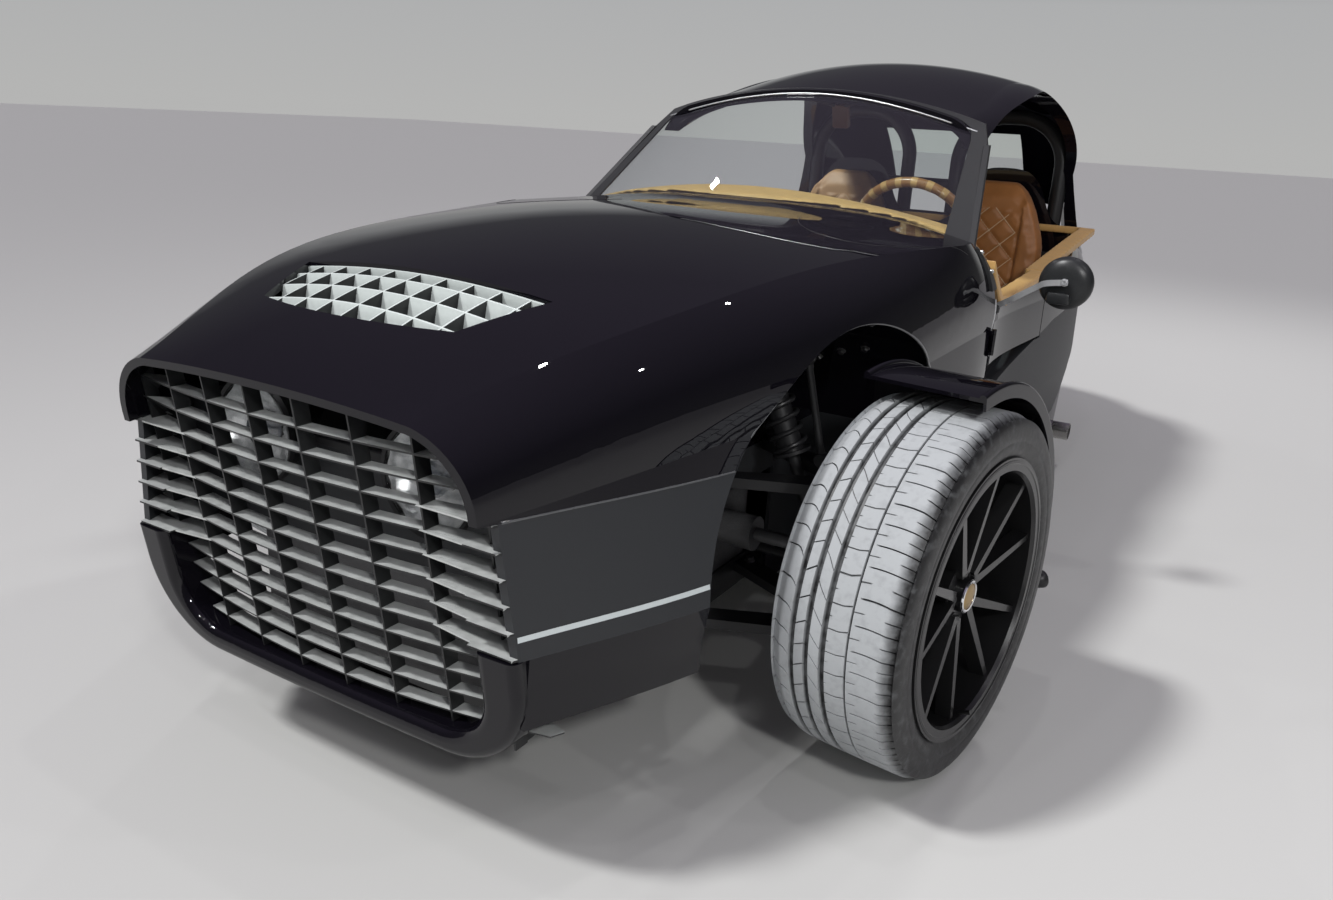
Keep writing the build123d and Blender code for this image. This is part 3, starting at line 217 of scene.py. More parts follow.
# One tan seat leather in two tones: the darker one is painted shade, the paler one painted light
seat_leather_shaded = material("seat_leather", (0.42, 0.17, 0.05), rough=0.45, vary=0.2, scale=25, bump=0.5,
                        bump_scale=800, sheen=0.1)
seat_leather_lit = material("seat_leather_pale", (0.56, 0.34, 0.16), rough=0.45, vary=0.15, scale=25,
                        bump=0.5, bump_scale=900)
leather_dark = material("leather_dark", (0.03, 0.028, 0.027), rough=0.55, vary=0.2, scale=35, bump=0.5,
                        bump_scale=900)
disc_steel = material("disc_steel", (0.16, 0.16, 0.165), rough=0.35, metal=1.0, vary=0.1, scale=120)
arm_silver = material("arm_silver", (0.72, 0.73, 0.74), rough=0.32, metal=0.8, vary=0.08, scale=120)
thread = material("thread", (0.74, 0.58, 0.38), rough=0.7, vary=0.2, scale=400)
rubber = dusty("tyre_rubber")
alloy = material("alloy", (0.35, 0.35, 0.36), rough=0.4, metal=0.9, vary=0.15, scale=60, bump=0.2)
fins = striped("radiator_fins", (0.22, 0.22, 0.225), (0.03, 0.03, 0.032), 160, "X")
steel = material("pipe_steel", (0.55, 0.54, 0.52), rough=0.25, metal=1.0, vary=0.1, scale=60, bump=0.1)
chrome = material("chrome", (0.85, 0.86, 0.87), rough=0.06, metal=1.0, vary=0.03, scale=30,
                  rough_vary=0.02)
zinc = material("zinc", (0.5, 0.5, 0.49), rough=0.3, metal=1.0, vary=0.12, scale=200)
gold = material("cap_gold", (0.42, 0.29, 0.13), rough=0.35, metal=0.8, vary=0.2, scale=80)
wheel_paint = material("wheel_black", (0.005, 0.005, 0.0053), rough=0.35, coat=0.25, vary=0.2,
                       scale=300)
wood = material("rim_wood", (0.30, 0.13, 0.04), rough=0.3, coat=0.6, vary=0.35, scale=60,
                second=(0.42, 0.20, 0.07))
wood_pale = material("rim_wood_pale", (0.55, 0.33, 0.13), rough=0.3, coat=0.6, vary=0.2, scale=60)
clear = glass("screen_clear", (0.90, 0.95, 0.93))
lamp_glass = glass("lamp_clear", (0.96, 0.97, 0.97))
lamp_red = material("lamp_red", (0.35, 0.01, 0.01), rough=0.15, coat=1.0, vary=0.1, scale=200)
mirror_glass = material("mirror_glass", (0.8, 0.82, 0.83), rough=0.02, metal=1.0, vary=0.01, scale=10,
                        rough_vary=0.01)
pale_line = material("pale_line", (0.55, 0.60, 0.60), rough=0.4, vary=0.05, scale=200)

looks = {
    "body_black": paint, "band_grey": band, "grille_black": blade, "vent_grey": vent,
    "lamp_clear": alloy, "lamp_red": lamp_red, "core_alloy": fins, "tub_black": matte,
    "trim_tan": leather_tan, "seat_tan": seat_leather_shaded, "screen_clear": clear, "frame_grey": matte,
    "gear_black": satin, "mirror_black": paint, "wheel_black": wheel_paint, "tyre": rubber,
    "pipe_steel": steel, "rim_wood": wood,
}
slot_of = {s["node"]: s["material_slot"] for s in frame["record"]["subparts"]}
for name, obj in nodes.items():
    for s in obj.material_slots:
        s.material = looks[slot_of[name]]


# Mesh building
class Build:
    """Collects surfaces in the row frame, in metres, and makes one piece of them."""

    def __init__(self, place=None):
        self.verts = []
        self.faces = []
        self.slots = []
        self.slot = 0
        self.place = place or Matrix.Identity(4)

    def add(self, verts, faces):
        base = len(self.verts)
        flip = self.place.determinant() < 0
        self.verts += [tuple(self.place @ Vector(v)) for v in verts]
        for face in faces:
            face = [base + i for i in face]
            self.faces.append(face[::-1] if flip else face)
            self.slots.append(self.slot)

    def grid(self, rows, around=False, along=False):
        """Quads between rows of points; around closes each row, along joins the last to the first."""
        n = len(rows[0])
        verts = [p for row in rows for p in row]
        faces = []
        for j in range(len(rows) - (0 if along else 1)):
            k = (j + 1) % len(rows)
            for i in range(n - (0 if around else 1)):
                m = (i + 1) % n
                faces.append((j * n + i, j * n + m, k * n + m, k * n + i))
        self.add(verts, faces)

    def turned(self, profile, origin, axis, segs=32, start=0.0, sweep=360.0):
        """Profile of (radius, distance along the axis), turned about the axis."""
        axis = Vector(axis).normalized()
        side = axis.orthogonal().normalized()
        other = axis.cross(side)
        origin = Vector(origin)
        whole = abs(sweep - 360.0) < 0.01
        rows = []
        for i in range(segs if whole else segs + 1):
            a = radians(start + sweep * i / segs)
            out = side * cos(a) + other * sin(a)
            rows.append([origin + axis * d + out * r for r, d in profile])
        self.grid(rows, along=whole)

    def tube(self, path, radius, segs=10, closed=False):
        """Round bar through the points; radius may be a list."""
        pts = [Vector(p) for p in path]
        n = len(pts)
        rows = []
        side = None
        for i, p in enumerate(pts):
            if closed:
                run = (pts[(i + 1) % n] - pts[i - 1]).normalized()
            else:
                run = (pts[min(i + 1, n - 1)] - pts[max(i - 1, 0)]).normalized()
            side = (run.orthogonal() if side is None else side - run * side.dot(run)).normalized()
            other = run.cross(side)
            r = radius[i] if isinstance(radius, (list, tuple)) else radius
            rows.append([p + (side * cos(t) + other * sin(t)) * r
                         for t in (2 * pi * k / segs for k in range(segs))])
        self.grid(rows, around=True, along=closed)
        if not closed:
            for row, turn_round in ((rows[0], True), (rows[-1], False)):
                face = list(range(segs))
                self.add(row, [face[::-1] if turn_round else face])

    def prism(self, outline, run):
        """Flat outline pushed along a vector, closed at both ends."""
        run = Vector(run)
        low = [Vector(p) for p in outline]
        high = [p + run for p in low]
        n = len(low)
        faces = [list(range(n))[::-1], list(range(n, 2 * n))]
        faces += [(i, (i + 1) % n, n + (i + 1) % n, n + i) for i in range(n)]
        self.add(low + high, faces)

    def block(self, low, high, edge=0.001, turn=None, origin=(0, 0, 0)):
        """Box with chamfered edges, in a turned frame about an origin."""
        lo, hi = Vector(low), Vector(high)
        e = min(edge, (hi.x - lo.x) / 3, (hi.y - lo.y) / 3, (hi.z - lo.z) / 3)
        bm = bmesh.new()
        bmesh.ops.create_cube(bm, size=1.0)
        for v in bm.verts:
            v.co = Vector((lo[i] + (hi[i] - lo[i]) * (v.co[i] + 0.5) for i in range(3)))
        bmesh.ops.bevel(bm, geom=bm.edges[:], offset=e, segments=2, profile=0.5, affect="EDGES")
        m = Matrix.Translation(origin) @ (turn or Matrix.Identity(4))
        bm.verts.index_update()
        self.add([m @ v.co for v in bm.verts], [[v.index for v in f.verts] for f in bm.faces])
        bm.free()

    def bolt(self, place, axis, size, kind="hex"):
        """Bolt head of across-size on a washer, seated at place, pointing along axis."""
        axis = Vector(axis).normalized()
        place = Vector(place)
        side = axis.orthogonal().normalized()
        other = axis.cross(side)
        r = size / 2
        self.turned([(0, 0), (r * 1.45, 0), (r * 1.45, size * 0.10), (r * 1.35, size * 0.15),
                     (0, size * 0.15)], place, axis, 20)
        top = size * 0.62
        if kind == "hex":
            rows = []
            for scale, d in ((1.0, size * 0.14), (1.0, top - size * 0.08), (0.9, top)):
                rows.append([place + axis * d + (side * cos(a) + other * sin(a)) * r * 1.12 * scale
                             for a in (pi / 3 * k for k in range(6))])
            self.grid(rows, around=True)
            self.add(rows[-1], [list(range(6))])
        else:
            self.turned([(r, size * 0.14), (r, top - size * 0.1), (r * 0.9, top), (r * 0.55, top),
                         (r * 0.5, top - size * 0.25), (0, top - size * 0.25)], place, axis, 20)

    def done(self, name, mats, body, slot=None, sharp=35.0, dust=None):
        """Makes the piece on its body; faces that meet at over sharp degrees keep a hard edge."""
        mesh = bpy.data.meshes.new(name)
        mesh.from_pydata(self.verts, [], self.faces)
        for m in mats if isinstance(mats, (list, tuple)) else [mats]:
            mesh.materials.append(m)
        mesh.polygons.foreach_set("use_smooth", [True] * len(mesh.polygons))
        mesh.polygons.foreach_set("material_index", self.slots)
        if sharp:
            mesh.set_sharp_from_angle(angle=radians(sharp))
        if dust is not None:
            layer = mesh.attributes.new("dust", "FLOAT", "POINT")
            layer.data.foreach_set("value", dust)
        mesh.update()
        obj = new_object(name, mesh)
        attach(obj, body)
        return obj


def smooth_path(points, steps=8):
    """Catmull-Rom line through the points."""
    pts = [Vector(p) for p in points]
    pts = [pts[0] * 2 - pts[1]] + pts + [pts[-1] * 2 - pts[-2]]
    out = []
    for a, b, c, d in zip(pts[:-3], pts[1:-2], pts[2:-1], pts[3:]):
        for i in range(steps):
            t = i / steps
            out.append(0.5 * ((2 * b) + (c - a) * t + (2 * a - 5 * b + 4 * c - d) * t * t
                              + (3 * b - a - 3 * c + d) * t ** 3))
    out.append(pts[-2])
    return out


KINGPIN_X, FRONT_Y, HUB_Z, KINGPIN_IN = 0.645, -1.050, 0.3235, 0.086
REAR_Y, REAR_Z = 1.490, 0.328
STEER = radians(-8)


def hub_frame(side):
    """Frame of a front wheel: x points out of the car along its axle."""
    m = Matrix.Translation((side * KINGPIN_X, FRONT_Y, 0)) @ Matrix.Rotation(STEER, 4, "Z")
    m = m @ Matrix.Translation((side * KINGPIN_IN, 0, HUB_Z))
    return m @ Matrix.Diagonal((side, 1, 1, 1))


# Tyres. Lengths across and depths are in mm, for a tyre TREAD_W wide; the rest of a tyre is stretched
FRONT_TYRE, REAR_TYRE = (323.5, 228.0), (328.0, 285.0)
TREAD_W = 228.0
GROOVE, INNER_WALL, OUTER_WALL = -1, -2, -3
PITCHES = 50
ROWS = [0, 0.012, 0.055, 0.067, 0.17, 0.28, 0.39, 0.5, 0.512, 0.545, 0.557, 0.66, 0.77, 0.88]
GROOVES = [(-71.0, -60.5, 7.5), (-44.5, -34.0, 7.5), (-15.5, -4.5, 7.5), (29.0, 33.0, 6.0)]
SHOULDER_IN, SHOULDER_OUT = -106.0, 104.0


def smoothstep(a, b, x):
    """Smooth rise from 0 at a to 1 at b."""
    t = min(1.0, max(0.0, (x - a) / (b - a)))
    return t * t * (3 - 2 * t)


def tyre(name, place, radius, width, body, node):
    """Tread with slots and sipes in unequal pitches, and both sidewalls, in place of the CAD tyre."""
    k = width / TREAD_W
    pitch = random.Random(7)
    lengths = [pitch.choice((0.82, 1.0, 1.0, 1.22)) for _ in range(PITCHES)]
    steps = np.concatenate([[0.0], np.cumsum(lengths)])
    steps = steps / steps[-1] * 2 * pi

    def angle(u):
        part = np.interp(u % PITCHES, np.arange(PITCHES + 1), steps)
        return part + 2 * pi * np.floor(u / PITCHES)

    # Columns across: x, depth of groove, rib number
    columns = []
    edges = [(SHOULDER_IN, GROOVES[0][0])]
    edges += [(a[1], b[0]) for a, b in zip(GROOVES[:-1], GROOVES[1:])]
    edges += [(GROOVES[-1][1], SHOULDER_OUT)]
    for rib, (a, b) in enumerate(edges):
        count = max(4, round((b - a) / 4.5))
        for i in range(count + 1):
            columns.append((a + (b - a) * i / count, 0.0, rib))
        if rib < len(GROOVES):
            ga, gb, deep = GROOVES[rib]
            columns.append((ga + 1.2, deep, GROOVE))
            columns.append((gb - 1.2, deep, GROOVE))

    def crown(x):
        t = abs(x) / 100.0
        return radius - 2.2 * t ** 2.2 - 3.6 * max(0.0, t - 0.88) * 20

    # Sidewall: x, drop below the crown
    wall = [(107.5, 8.5), (110.5, 13.0), (112.6, 20.0), (113.7, 28.0), (114.0, 36.0), (114.0, 44.0),
            (113.2, 46.0), (113.6, 47.5), (113.4, 54.0), (112.2, 62.0), (109.5, 69.0), (106.5, 74.0),
            (105.2, 80.0), (105.0, 85.5)]
    table = [(-x, radius - drop, 0.0, INNER_WALL) for x, drop in reversed(wall)]
    table += [(x, crown(x), d, r) for x, d, r in columns]
    table += [(x, radius - drop, 0.0, OUTER_WALL) for x, drop in wall]
    xs, base, deep, rib = zip(*table)
    n = len(xs)

    def shift(x, r):
        """How far round, in pitches, a rib's slots are moved at x."""
        if r == 0:
            return -0.30 * max(0.0, (x + 88) / 17.0) ** 2 if x > -88 else 0.0
        if r == 1:
            return 0.35 + 0.22 * (x + 60.5) / 16.0
        if r == 2:
            return 0.15 - 0.55 * (x + 34) / 18.5
        if r == 3:
            return 0.62 + (0.0 if x < 14 else 0.10 * (x - 14) / 15)
        if r == 4:
            return 0.10 - 0.12 * ((x - 60) / 44.0) ** 2
        return None

    phase = [shift(x, r) for x, r in zip(xs, rib)]
    known = [i for i, p in enumerate(phase) if p is not None]
    phase = np.interp(range(n), known, [phase[i] for i in known])

    def cut(x, r, row):
        """Depth of the slots and sipes at one column and row."""
        first = row in (1, 2)
        second = row in (8, 9)
        if r == 0:
            return 5.0 if first and x < -73 else 0.0
        if r == 1:
            return 4.0 if first else 0.0
        if r == 2:
            return 1.6 if first else 0.0
        if r == 3:
            return 2.2 if first else (2.0 if second and x < 0 else 0.0)
        if r == 4:
            if first:
                return 5.0 if x > 39 else 0.0
            if second:
                return 3.5 if x > 84 else (1.5 if x < 48 else 0.0)
        return 0.0

    rows, dust = [], []
    noise = random.Random(3)
    for p in range(PITCHES):
        for row, share in enumerate(ROWS):
            line = []
            a = angle(p + share + phase)
            for c in range(n):
                x, r = xs[c] * k, rib[c]
                slot_deep = cut(xs[c], r, row)
                rad = base[c] - deep[c] - slot_deep
                if r == INNER_WALL:
                    d = 0.9 * smoothstep(-114.0, -107.0, xs[c]) if base[c] > radius - 30 else 0.0
                elif r == OUTER_WALL:
                    d = 0.0
                elif r == GROOVE:
                    d = 0.12
                else:
                    d = 1.0 - (0.9 if slot_deep > 3 else (0.75 if slot_deep > 0 else 0.0))
                    d *= 1.0 - smoothstep(80.0, 103.0, xs[c])
                line.append((x / 1000, -rad * cos(a[c]) / 1000,
                             rad * sin(a[c]) / 1000))
                dust.append(d + (noise.random() - 0.5) * 0.06)
            rows.append(line)
    made = Build(place)
    made.grid(rows, along=True)
    obj = made.done(name, rubber, body, "tyre", sharp=50.0, dust=dust)
    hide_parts(node)
    return obj


WHEELS = {"left": hub_frame(1), "right": hub_frame(-1)}
for side_name, place in WHEELS.items():
    tyre("tread_" + side_name, place, *FRONT_TYRE, "front_" + side_name + "_wheel",
         "tyre_" + side_name)
tyre("tread_rear", Matrix.Translation((0, REAR_Y, REAR_Z)), *REAR_TYRE, "rear_wheel", "rear_tyre")


# Soft pieces: the CAD solid remeshed, rounded and sewn
def remeshed(node, voxel, smooth):
    """A copy of a CAD node's mesh with even faces and softened edges."""
    temp = new_object("temp", nodes[node].data.copy())
    grid = temp.modifiers.new("grid", "REMESH")
    grid.mode = "VOXEL"
    grid.voxel_size = voxel
    relax = temp.modifiers.new("relax", "SMOOTH")
    relax.factor = 0.6
    relax.iterations = smooth
    graph = bpy.context.evaluated_depsgraph_get()
    mesh = bpy.data.meshes.new_from_object(temp.evaluated_get(graph))
    bpy.data.objects.remove(temp)
    return mesh


def cloth_puff(name, mesh, pressure, cap, steps=20):
    """Cloth with inner pressure and no gravity; a point moves at most cap metres."""
    temp = new_object("puff_" + name, mesh.copy())
    cloth = temp.modifiers.new("cloth", "CLOTH")
    cloth.settings.use_pressure = True
    cloth.settings.uniform_pressure_force = pressure
    cloth.settings.quality = 4
    cloth.settings.effector_weights.gravity = 0
    scene = bpy.context.scene
    for f in range(1, steps + 1):
        scene.frame_set(f)
    graph = bpy.context.evaluated_depsgraph_get()
    done = bpy.data.meshes.new_from_object(temp.evaluated_get(graph))
    bpy.data.objects.remove(temp)
    scene.frame_set(1)
    start = coords(mesh)
    move = coords(done) - start
    far = np.linalg.norm(move, axis=1)
    move *= np.minimum(1.0, cap / np.maximum(far, 1e-9))[:, None]
    mesh.vertices.foreach_set("co", (start + move).ravel())


def coords(mesh, kind="co"):
    """The places of a mesh's points, or their normals, a row each."""
    out = np.empty(len(mesh.vertices) * 3)
    mesh.vertices.foreach_get(kind, out)
    return out.reshape(-1, 3)


def soft_piece(name, mesh, mats, body, node):
    """Makes the mesh a padded piece that replaces a CAD node."""
    mesh.name = name
    mesh.materials.clear()
    for m in mats:
        mesh.materials.append(m)
    mesh.polygons.foreach_set("use_smooth", [True] * len(mesh.polygons))
    obj = new_object(name, mesh)
    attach(obj, body)
    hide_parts(node)


# Seats: quilted middle panel with a sunk seam along its sides, plain bolsters
SEAT_X = 0.275
BACK_LOW = np.array((0.880, 0.330))
BACK_HIGH = np.array((0.952, 0.900))
QUILT_HALF = 0.098
DIAMOND_W, DIAMOND_H = 0.088, 0.088
QUILT_RISE, QUILT_SINK, SEAM_SINK, SEAM_HALF = 0.0085, 0.003, 0.004, 0.006


def quilt(u, v):
    """Height of the sewn diamonds: 0 in a seam, 1 in the middle of a diamond."""
    a = u / DIAMOND_W + v / DIAMOND_H
    b = u / DIAMOND_W - v / DIAMOND_H
    da = np.abs(a - np.round(a))
    db = np.abs(b - np.round(b))
    d = np.minimum(da, db) * 2
    return np.clip(d * 2.4, 0, 1) ** 0.55


for side_name, side in SIDES:
    mesh = remeshed("seat_" + side_name, 0.0065, 4)
    cloth_puff("seat_" + side_name, mesh, 3.0, 0.006)
    p = coords(mesh)
    mesh.update()
    nrm = coords(mesh, "normal")
    back_dir = BACK_HIGH - BACK_LOW
    length = float(np.linalg.norm(back_dir))
    back_dir = back_dir / length
    u = p[:, 0] - side * SEAT_X
    along = (p[:, 1] - BACK_LOW[0]) * back_dir[0] + (p[:, 2] - BACK_LOW[1]) * back_dir[1]
    front = nrm[:, 1] < -0.55
    top = (nrm[:, 2] > 0.55) & (p[:, 1] < 0.90) & (p[:, 2] < 0.42)
    on_back = front & (along > 0.02) & (along < length - 0.06) & (p[:, 1] > 0.83)
    reach = np.where(on_back, along, p[:, 1] - 0.47)
    on_panel = (on_back | top) & (np.abs(u) < QUILT_HALF)
    arch = np.abs(u) / QUILT_HALF
    on_panel &= ~(on_back & (along > length - 0.045 - 0.05 * arch ** 2))
    height = quilt(u, reach)
    seam = np.clip(1 - np.abs(np.abs(u) - QUILT_HALF) / SEAM_HALF, 0, 1) * (on_back | top)
    lift_by = np.where(on_panel, QUILT_RISE * height - QUILT_SINK, 0.0) - SEAM_SINK * seam
    p = p + nrm * lift_by[:, None]
    mesh.vertices.foreach_set("co", p.ravel())
    mesh.update()
    skin = BVHTree.FromPolygons([Vector(c) for c in p.tolist()],
                                [tuple(f.vertices) for f in mesh.polygons])
    # The left seat takes the painted-shade tone, the right seat the painted-light tone
    soft_piece("seat_skin_" + side_name, mesh, [seat_leather_shaded if side > 0 else seat_leather_lit],
               "chassis", "seat_" + side_name)
    # Stitches along the diamonds on the backrest
    sew = Build()
    away = Vector((0, -back_dir[1], back_dir[0]))
    for k in range(-12, 13):
        for lean in (-1, 1):
            pts = []
            for i in range(61):
                v = length * i / 60
                uu = lean * (k * DIAMOND_W - v / DIAMOND_H * DIAMOND_W)
                end = length - 0.05 - 0.05 * (uu / QUILT_HALF) ** 2
                if abs(uu) < QUILT_HALF - 0.004 and 0.03 < v < end:
                    pts.append((uu, v))
            if len(pts) > 2:
                line = []
                for uu, v in pts:
                    start = Vector((side * SEAT_X + uu, BACK_LOW[0] + back_dir[0] * v,
                                    BACK_LOW[1] + back_dir[1] * v))
                    place = skin.ray_cast(start + away * 0.08, -away)[0]
                    if place is not None and (place - start).length < 0.05:
                        line.append(place + away * 0.0004)
                if len(line) > 2:
                    sew.tube(line, 0.0013, 5)
    sew.done("seat_stitch_" + side_name, thread, "chassis")


# Tan pads on the doors and round the cockpit
for side_name, _ in SIDES:
    mesh = remeshed("door_pad_" + side_name, 0.004, 6)
    soft_piece("door_cushion_" + side_name, mesh, [leather_tan], side_name + "_door",
               "door_pad_" + side_name)
mesh = remeshed("rim_pad", 0.004, 6)
soft_piece("rim_cushion", mesh, [leather_tan], "chassis", "rim_pad")

# Dashboard: tan roll along the windscreen, dark face below
mesh = remeshed("dash", 0.006, 4)
soft_piece("dash_cover", mesh, [leather_tan, leather_dark], "chassis", "dash")
for f in mesh.polygons:
    c = f.center
    if c.z < 0.864 - 0.16 * c.x ** 2 and c.y > -0.31:
        f.material_index = 1

# Wheel details: centre cap, nuts, inner ring, brake disc and valve
NUT_CIRCLE = 0.0455
for side_name, place in WHEELS.items():
    body = "front_" + side_name + "_wheel"
    cap = Build(place)
    cap.turned([(0.0, 0.0895), (0.010, 0.0893), (0.019, 0.0884), (0.0232, 0.0868)], ORIGIN, X_AXIS,
               48)
    cap.slot = 1
    cap.turned([(0.0232, 0.0866), (0.0236, 0.0885), (0.0262, 0.0893), (0.0285, 0.0883), (0.0292, 0.0855)],
               ORIGIN, X_AXIS, 48)
    cap.done("cap_" + side_name, [gold, chrome], body, "wheel_black")
    nuts = Build(place)
    for i in range(5):
        a = radians(30 + 72 * i)
        nuts.bolt((0.070, NUT_CIRCLE * cos(a), NUT_CIRCLE * sin(a)), X_AXIS, 0.017)
    nuts.done("nuts_" + side_name, satin, body, "wheel_black")
    ring = Build(place)
    ring.turned([(0.2310, 0.1010), (0.2290, 0.1045), (0.2270, 0.1010)], ORIGIN, X_AXIS, 128)
    ring.turned([(0.2475, 0.1075), (0.2455, 0.1128), (0.2415, 0.1135), (0.2390, 0.1118)], ORIGIN,
                X_AXIS, 128)
    ring.tube([(0.098, 0.0, -0.226), (0.108, 0.0, -0.218), (0.122, 0.0, -0.212)],
              [0.0045, 0.0035, 0.0045], 12)
    ring.done("ring_" + side_name, wheel_paint, body, "wheel_black")
    disc = Build(place)
    disc.turned([(0.088, -0.0272), (0.1495, -0.0272), (0.1505, -0.0290), (0.1505, -0.0390),
                 (0.1495, -0.0408), (0.088, -0.0408)], ORIGIN, X_AXIS, 96)
    disc.done("disc_" + side_name, disc_steel, body, "pipe_steel")

# Coil spring over each shock absorber, and the bolts of the arms
SHOCK_Y = FRONT_Y + 0.035
COIL_TURNS, COIL_STEPS, COIL_R = 5, 20, 0.031
ARM_HALF = 0.1405
for side_name, side in SIDES:
    top = Vector((side * 0.388, SHOCK_Y, 0.618))
    foot = Vector((side * 0.440, SHOCK_Y, 0.497))
    run = (foot - top).normalized()
    across = run.orthogonal().normalized()
    other = run.cross(across)
    coil = Build()
    path = []
    for i in range(COIL_TURNS * COIL_STEPS + 1):
        a = 2 * pi * i / COIL_STEPS
        path.append(top + (foot - top) * (i / (COIL_TURNS * COIL_STEPS))
                    + (across * cos(a) + other * sin(a)) * COIL_R)
    coil.tube(path, 0.0045, 10)
    for end, d in ((top, -1), (foot, 1)):
        coil.turned([(0.024, 0.0), (0.037, 0.0), (0.037, 0.006 * d), (0.024, 0.006 * d)],
                    end + run * 0.005 * d, run, 32)
    coil.done("spring_" + side_name, satin, "chassis", "gear_black")
    hard = Build()
    for level, x, y in ((-1, 0.322, 0.150), (-1, 0.322, -0.150), (1, 0.358, 0.140), (1, 0.358, -0.140)):
        hard.bolt((side * x, FRONT_Y + y, HUB_Z + level * ARM_HALF + 0.0094), Z_AXIS, 0.016)
    for z in (HUB_Z - 0.131, HUB_Z + 0.150):
        hard.bolt((side * KINGPIN_X, FRONT_Y, z), Z_AXIS, 0.022)
    hard.bolt((side * 0.569, SHOCK_Y - 0.014, 0.205), (0, -1, 0), 0.016)
    hard.bolt((side * 0.380, SHOCK_Y - 0.001, 0.680), Z_AXIS, 0.014)
    hard.done("arm_bolts_" + side_name, zinc, "chassis", "gear_black")

# Steering wheel: pale wooden rim with dark inlays, black spokes and hub
tilt = radians(25)
normal = Vector((0, cos(tilt), sin(tilt)))
hub = Vector((0.285, 0.067, 0.804))
side_axis = Vector((1, 0, 0))
up_axis = normal.cross(side_axis)
wheel = Build()
RIM_R, GRIP_R = 0.158, 0.014
for i in range(24):
    for slot, a0, a1, thick in ((0, 0.0, 6.0, GRIP_R), (1, 6.0, 15.0, GRIP_R * 0.965)):
        wheel.slot = slot
        rows = []
        for j in range(5):
            a = radians(15 * i + a0 + (a1 - a0) * j / 4)
            out = side_axis * cos(a) + up_axis * sin(a)
            rows.append([hub + out * (RIM_R + thick * cos(t)) + normal * thick * sin(t)
                         for t in (2 * pi * q / 16 for q in range(16))])
        wheel.grid(rows, around=True)
wheel.slot = 2
for a in (90.0, 210.0, 330.0):
    out = side_axis * cos(radians(a)) + up_axis * sin(radians(a))
    across = normal.cross(out)
    rows = []
    for r, w, d in ((0.030, 0.020, -0.012), (0.060, 0.014, -0.010), (0.110, 0.011, -0.005),
                    (0.149, 0.013, 0.0)):
        c = hub + out * r + normal * d
        rows.append([c - across * w - normal * 0.0025, c + across * w - normal * 0.0025,
                     c + across * w + normal * 0.0025, c - across * w + normal * 0.0025])
    wheel.grid(rows, around=True)
wheel.turned([(0.0, 0.010), (0.018, 0.009), (0.027, 0.004), (0.029, -0.002), (0.042, -0.006),
              (0.044, -0.014), (0.036, -0.020), (0.0, -0.020)], hub, normal, 48)
for i in range(6):
    a = radians(60 * i + 30)
    out = side_axis * cos(a) + up_axis * sin(a)
    wheel.bolt(hub + out * 0.035 - normal * 0.0048, normal, 0.005, "socket")
obj = wheel.done("wheel_grip", [wood_pale, wood, satin], "steering_wheel", "rim_wood")
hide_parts("steering_wheel")

# Mirrors: round head with a bright flat arm and a dark foot
for side_name, side in SIDES:
    place = Matrix.Diagonal((side, 1, 1, 1))
    head = Build(place)
    centre = (0.748, -0.225, 0.763)
    head.turned([(0.0, -0.034), (0.020, -0.0333), (0.038, -0.0305), (0.050, -0.0255), (0.057, -0.019),
                 (0.060, -0.012), (0.060, -0.004), (0.0585, 0.0), (0.0555, -0.001), (0.0545, -0.005)],
                centre, Y_AXIS, 64)
    head.slot = 1
    head.turned([(0.0545, -0.006), (0.030, -0.0048), (0.0, -0.0045)], centre, Y_AXIS, 64)
    head.slot = 2
    arm = smooth_path([(0.604, -0.262, 0.693), (0.640, -0.268, 0.716), (0.690, -0.268, 0.750),
                       (0.712, -0.269, 0.762), (0.756, -0.264, 0.768)], 6)
    rows = []
    for i, c in enumerate(arm):
        run = (arm[min(i + 1, len(arm) - 1)] - arm[max(i - 1, 0)]).normalized()
        wide = Vector(Y_AXIS) * 0.005
        tall = run.cross(Vector(Y_AXIS)).normalized() * 0.0065
        rows.append([c + wide + tall, c - wide + tall, c - wide - tall, c + wide - tall])
    head.grid(rows, around=True)
    head.add(rows[0], [(0, 1, 2, 3)])
    head.add(rows[-1], [(3, 2, 1, 0)])
    for c in (0.612, 0.628):
        head.bolt((c, -0.264, 0.699 + (c - 0.612) * 0.6), (-0.45, 0, 0.89), 0.008, "socket")
    head.bolt((0.750, -0.271, 0.768), (0, -1, 0.1), 0.012, "socket")
    head.slot = 0
    head.block((0.714, -0.268, 0.716), (0.766, -0.236, 0.744), 0.007)
    head.turned([(0.0, 0.0), (0.013, 0.0), (0.015, 0.004), (0.011, 0.020), (0.0, 0.022)],
                (0.600, -0.262, 0.682), (0.35, 0, 0.93), 24)
    obj = head.done("mirror_head_" + side_name, [dull, mirror_glass, arm_silver], side_name + "_door",
                    "mirror_black")
    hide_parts("mirror_" + side_name)


# Placing things on the CAD surfaces
TREES = {}


def tree(node):
    """A CAD node's faces, made ready for ray casts once."""
    if node not in TREES:
        mesh = nodes[node].data
        TREES[node] = BVHTree.FromPolygons([v.co for v in mesh.vertices],
                                           [p.vertices for p in mesh.polygons])
    return TREES[node]


def seat_on(node, start, direction):
    """Where a line from start first meets the node: the place and the outward normal."""
    direction = Vector(direction).normalized()
    place, nrm, _, _ = tree(node).ray_cast(Vector(start), direction)
    if place is None:
        return None
    return (place, nrm if nrm.dot(direction) < 0 else -nrm)


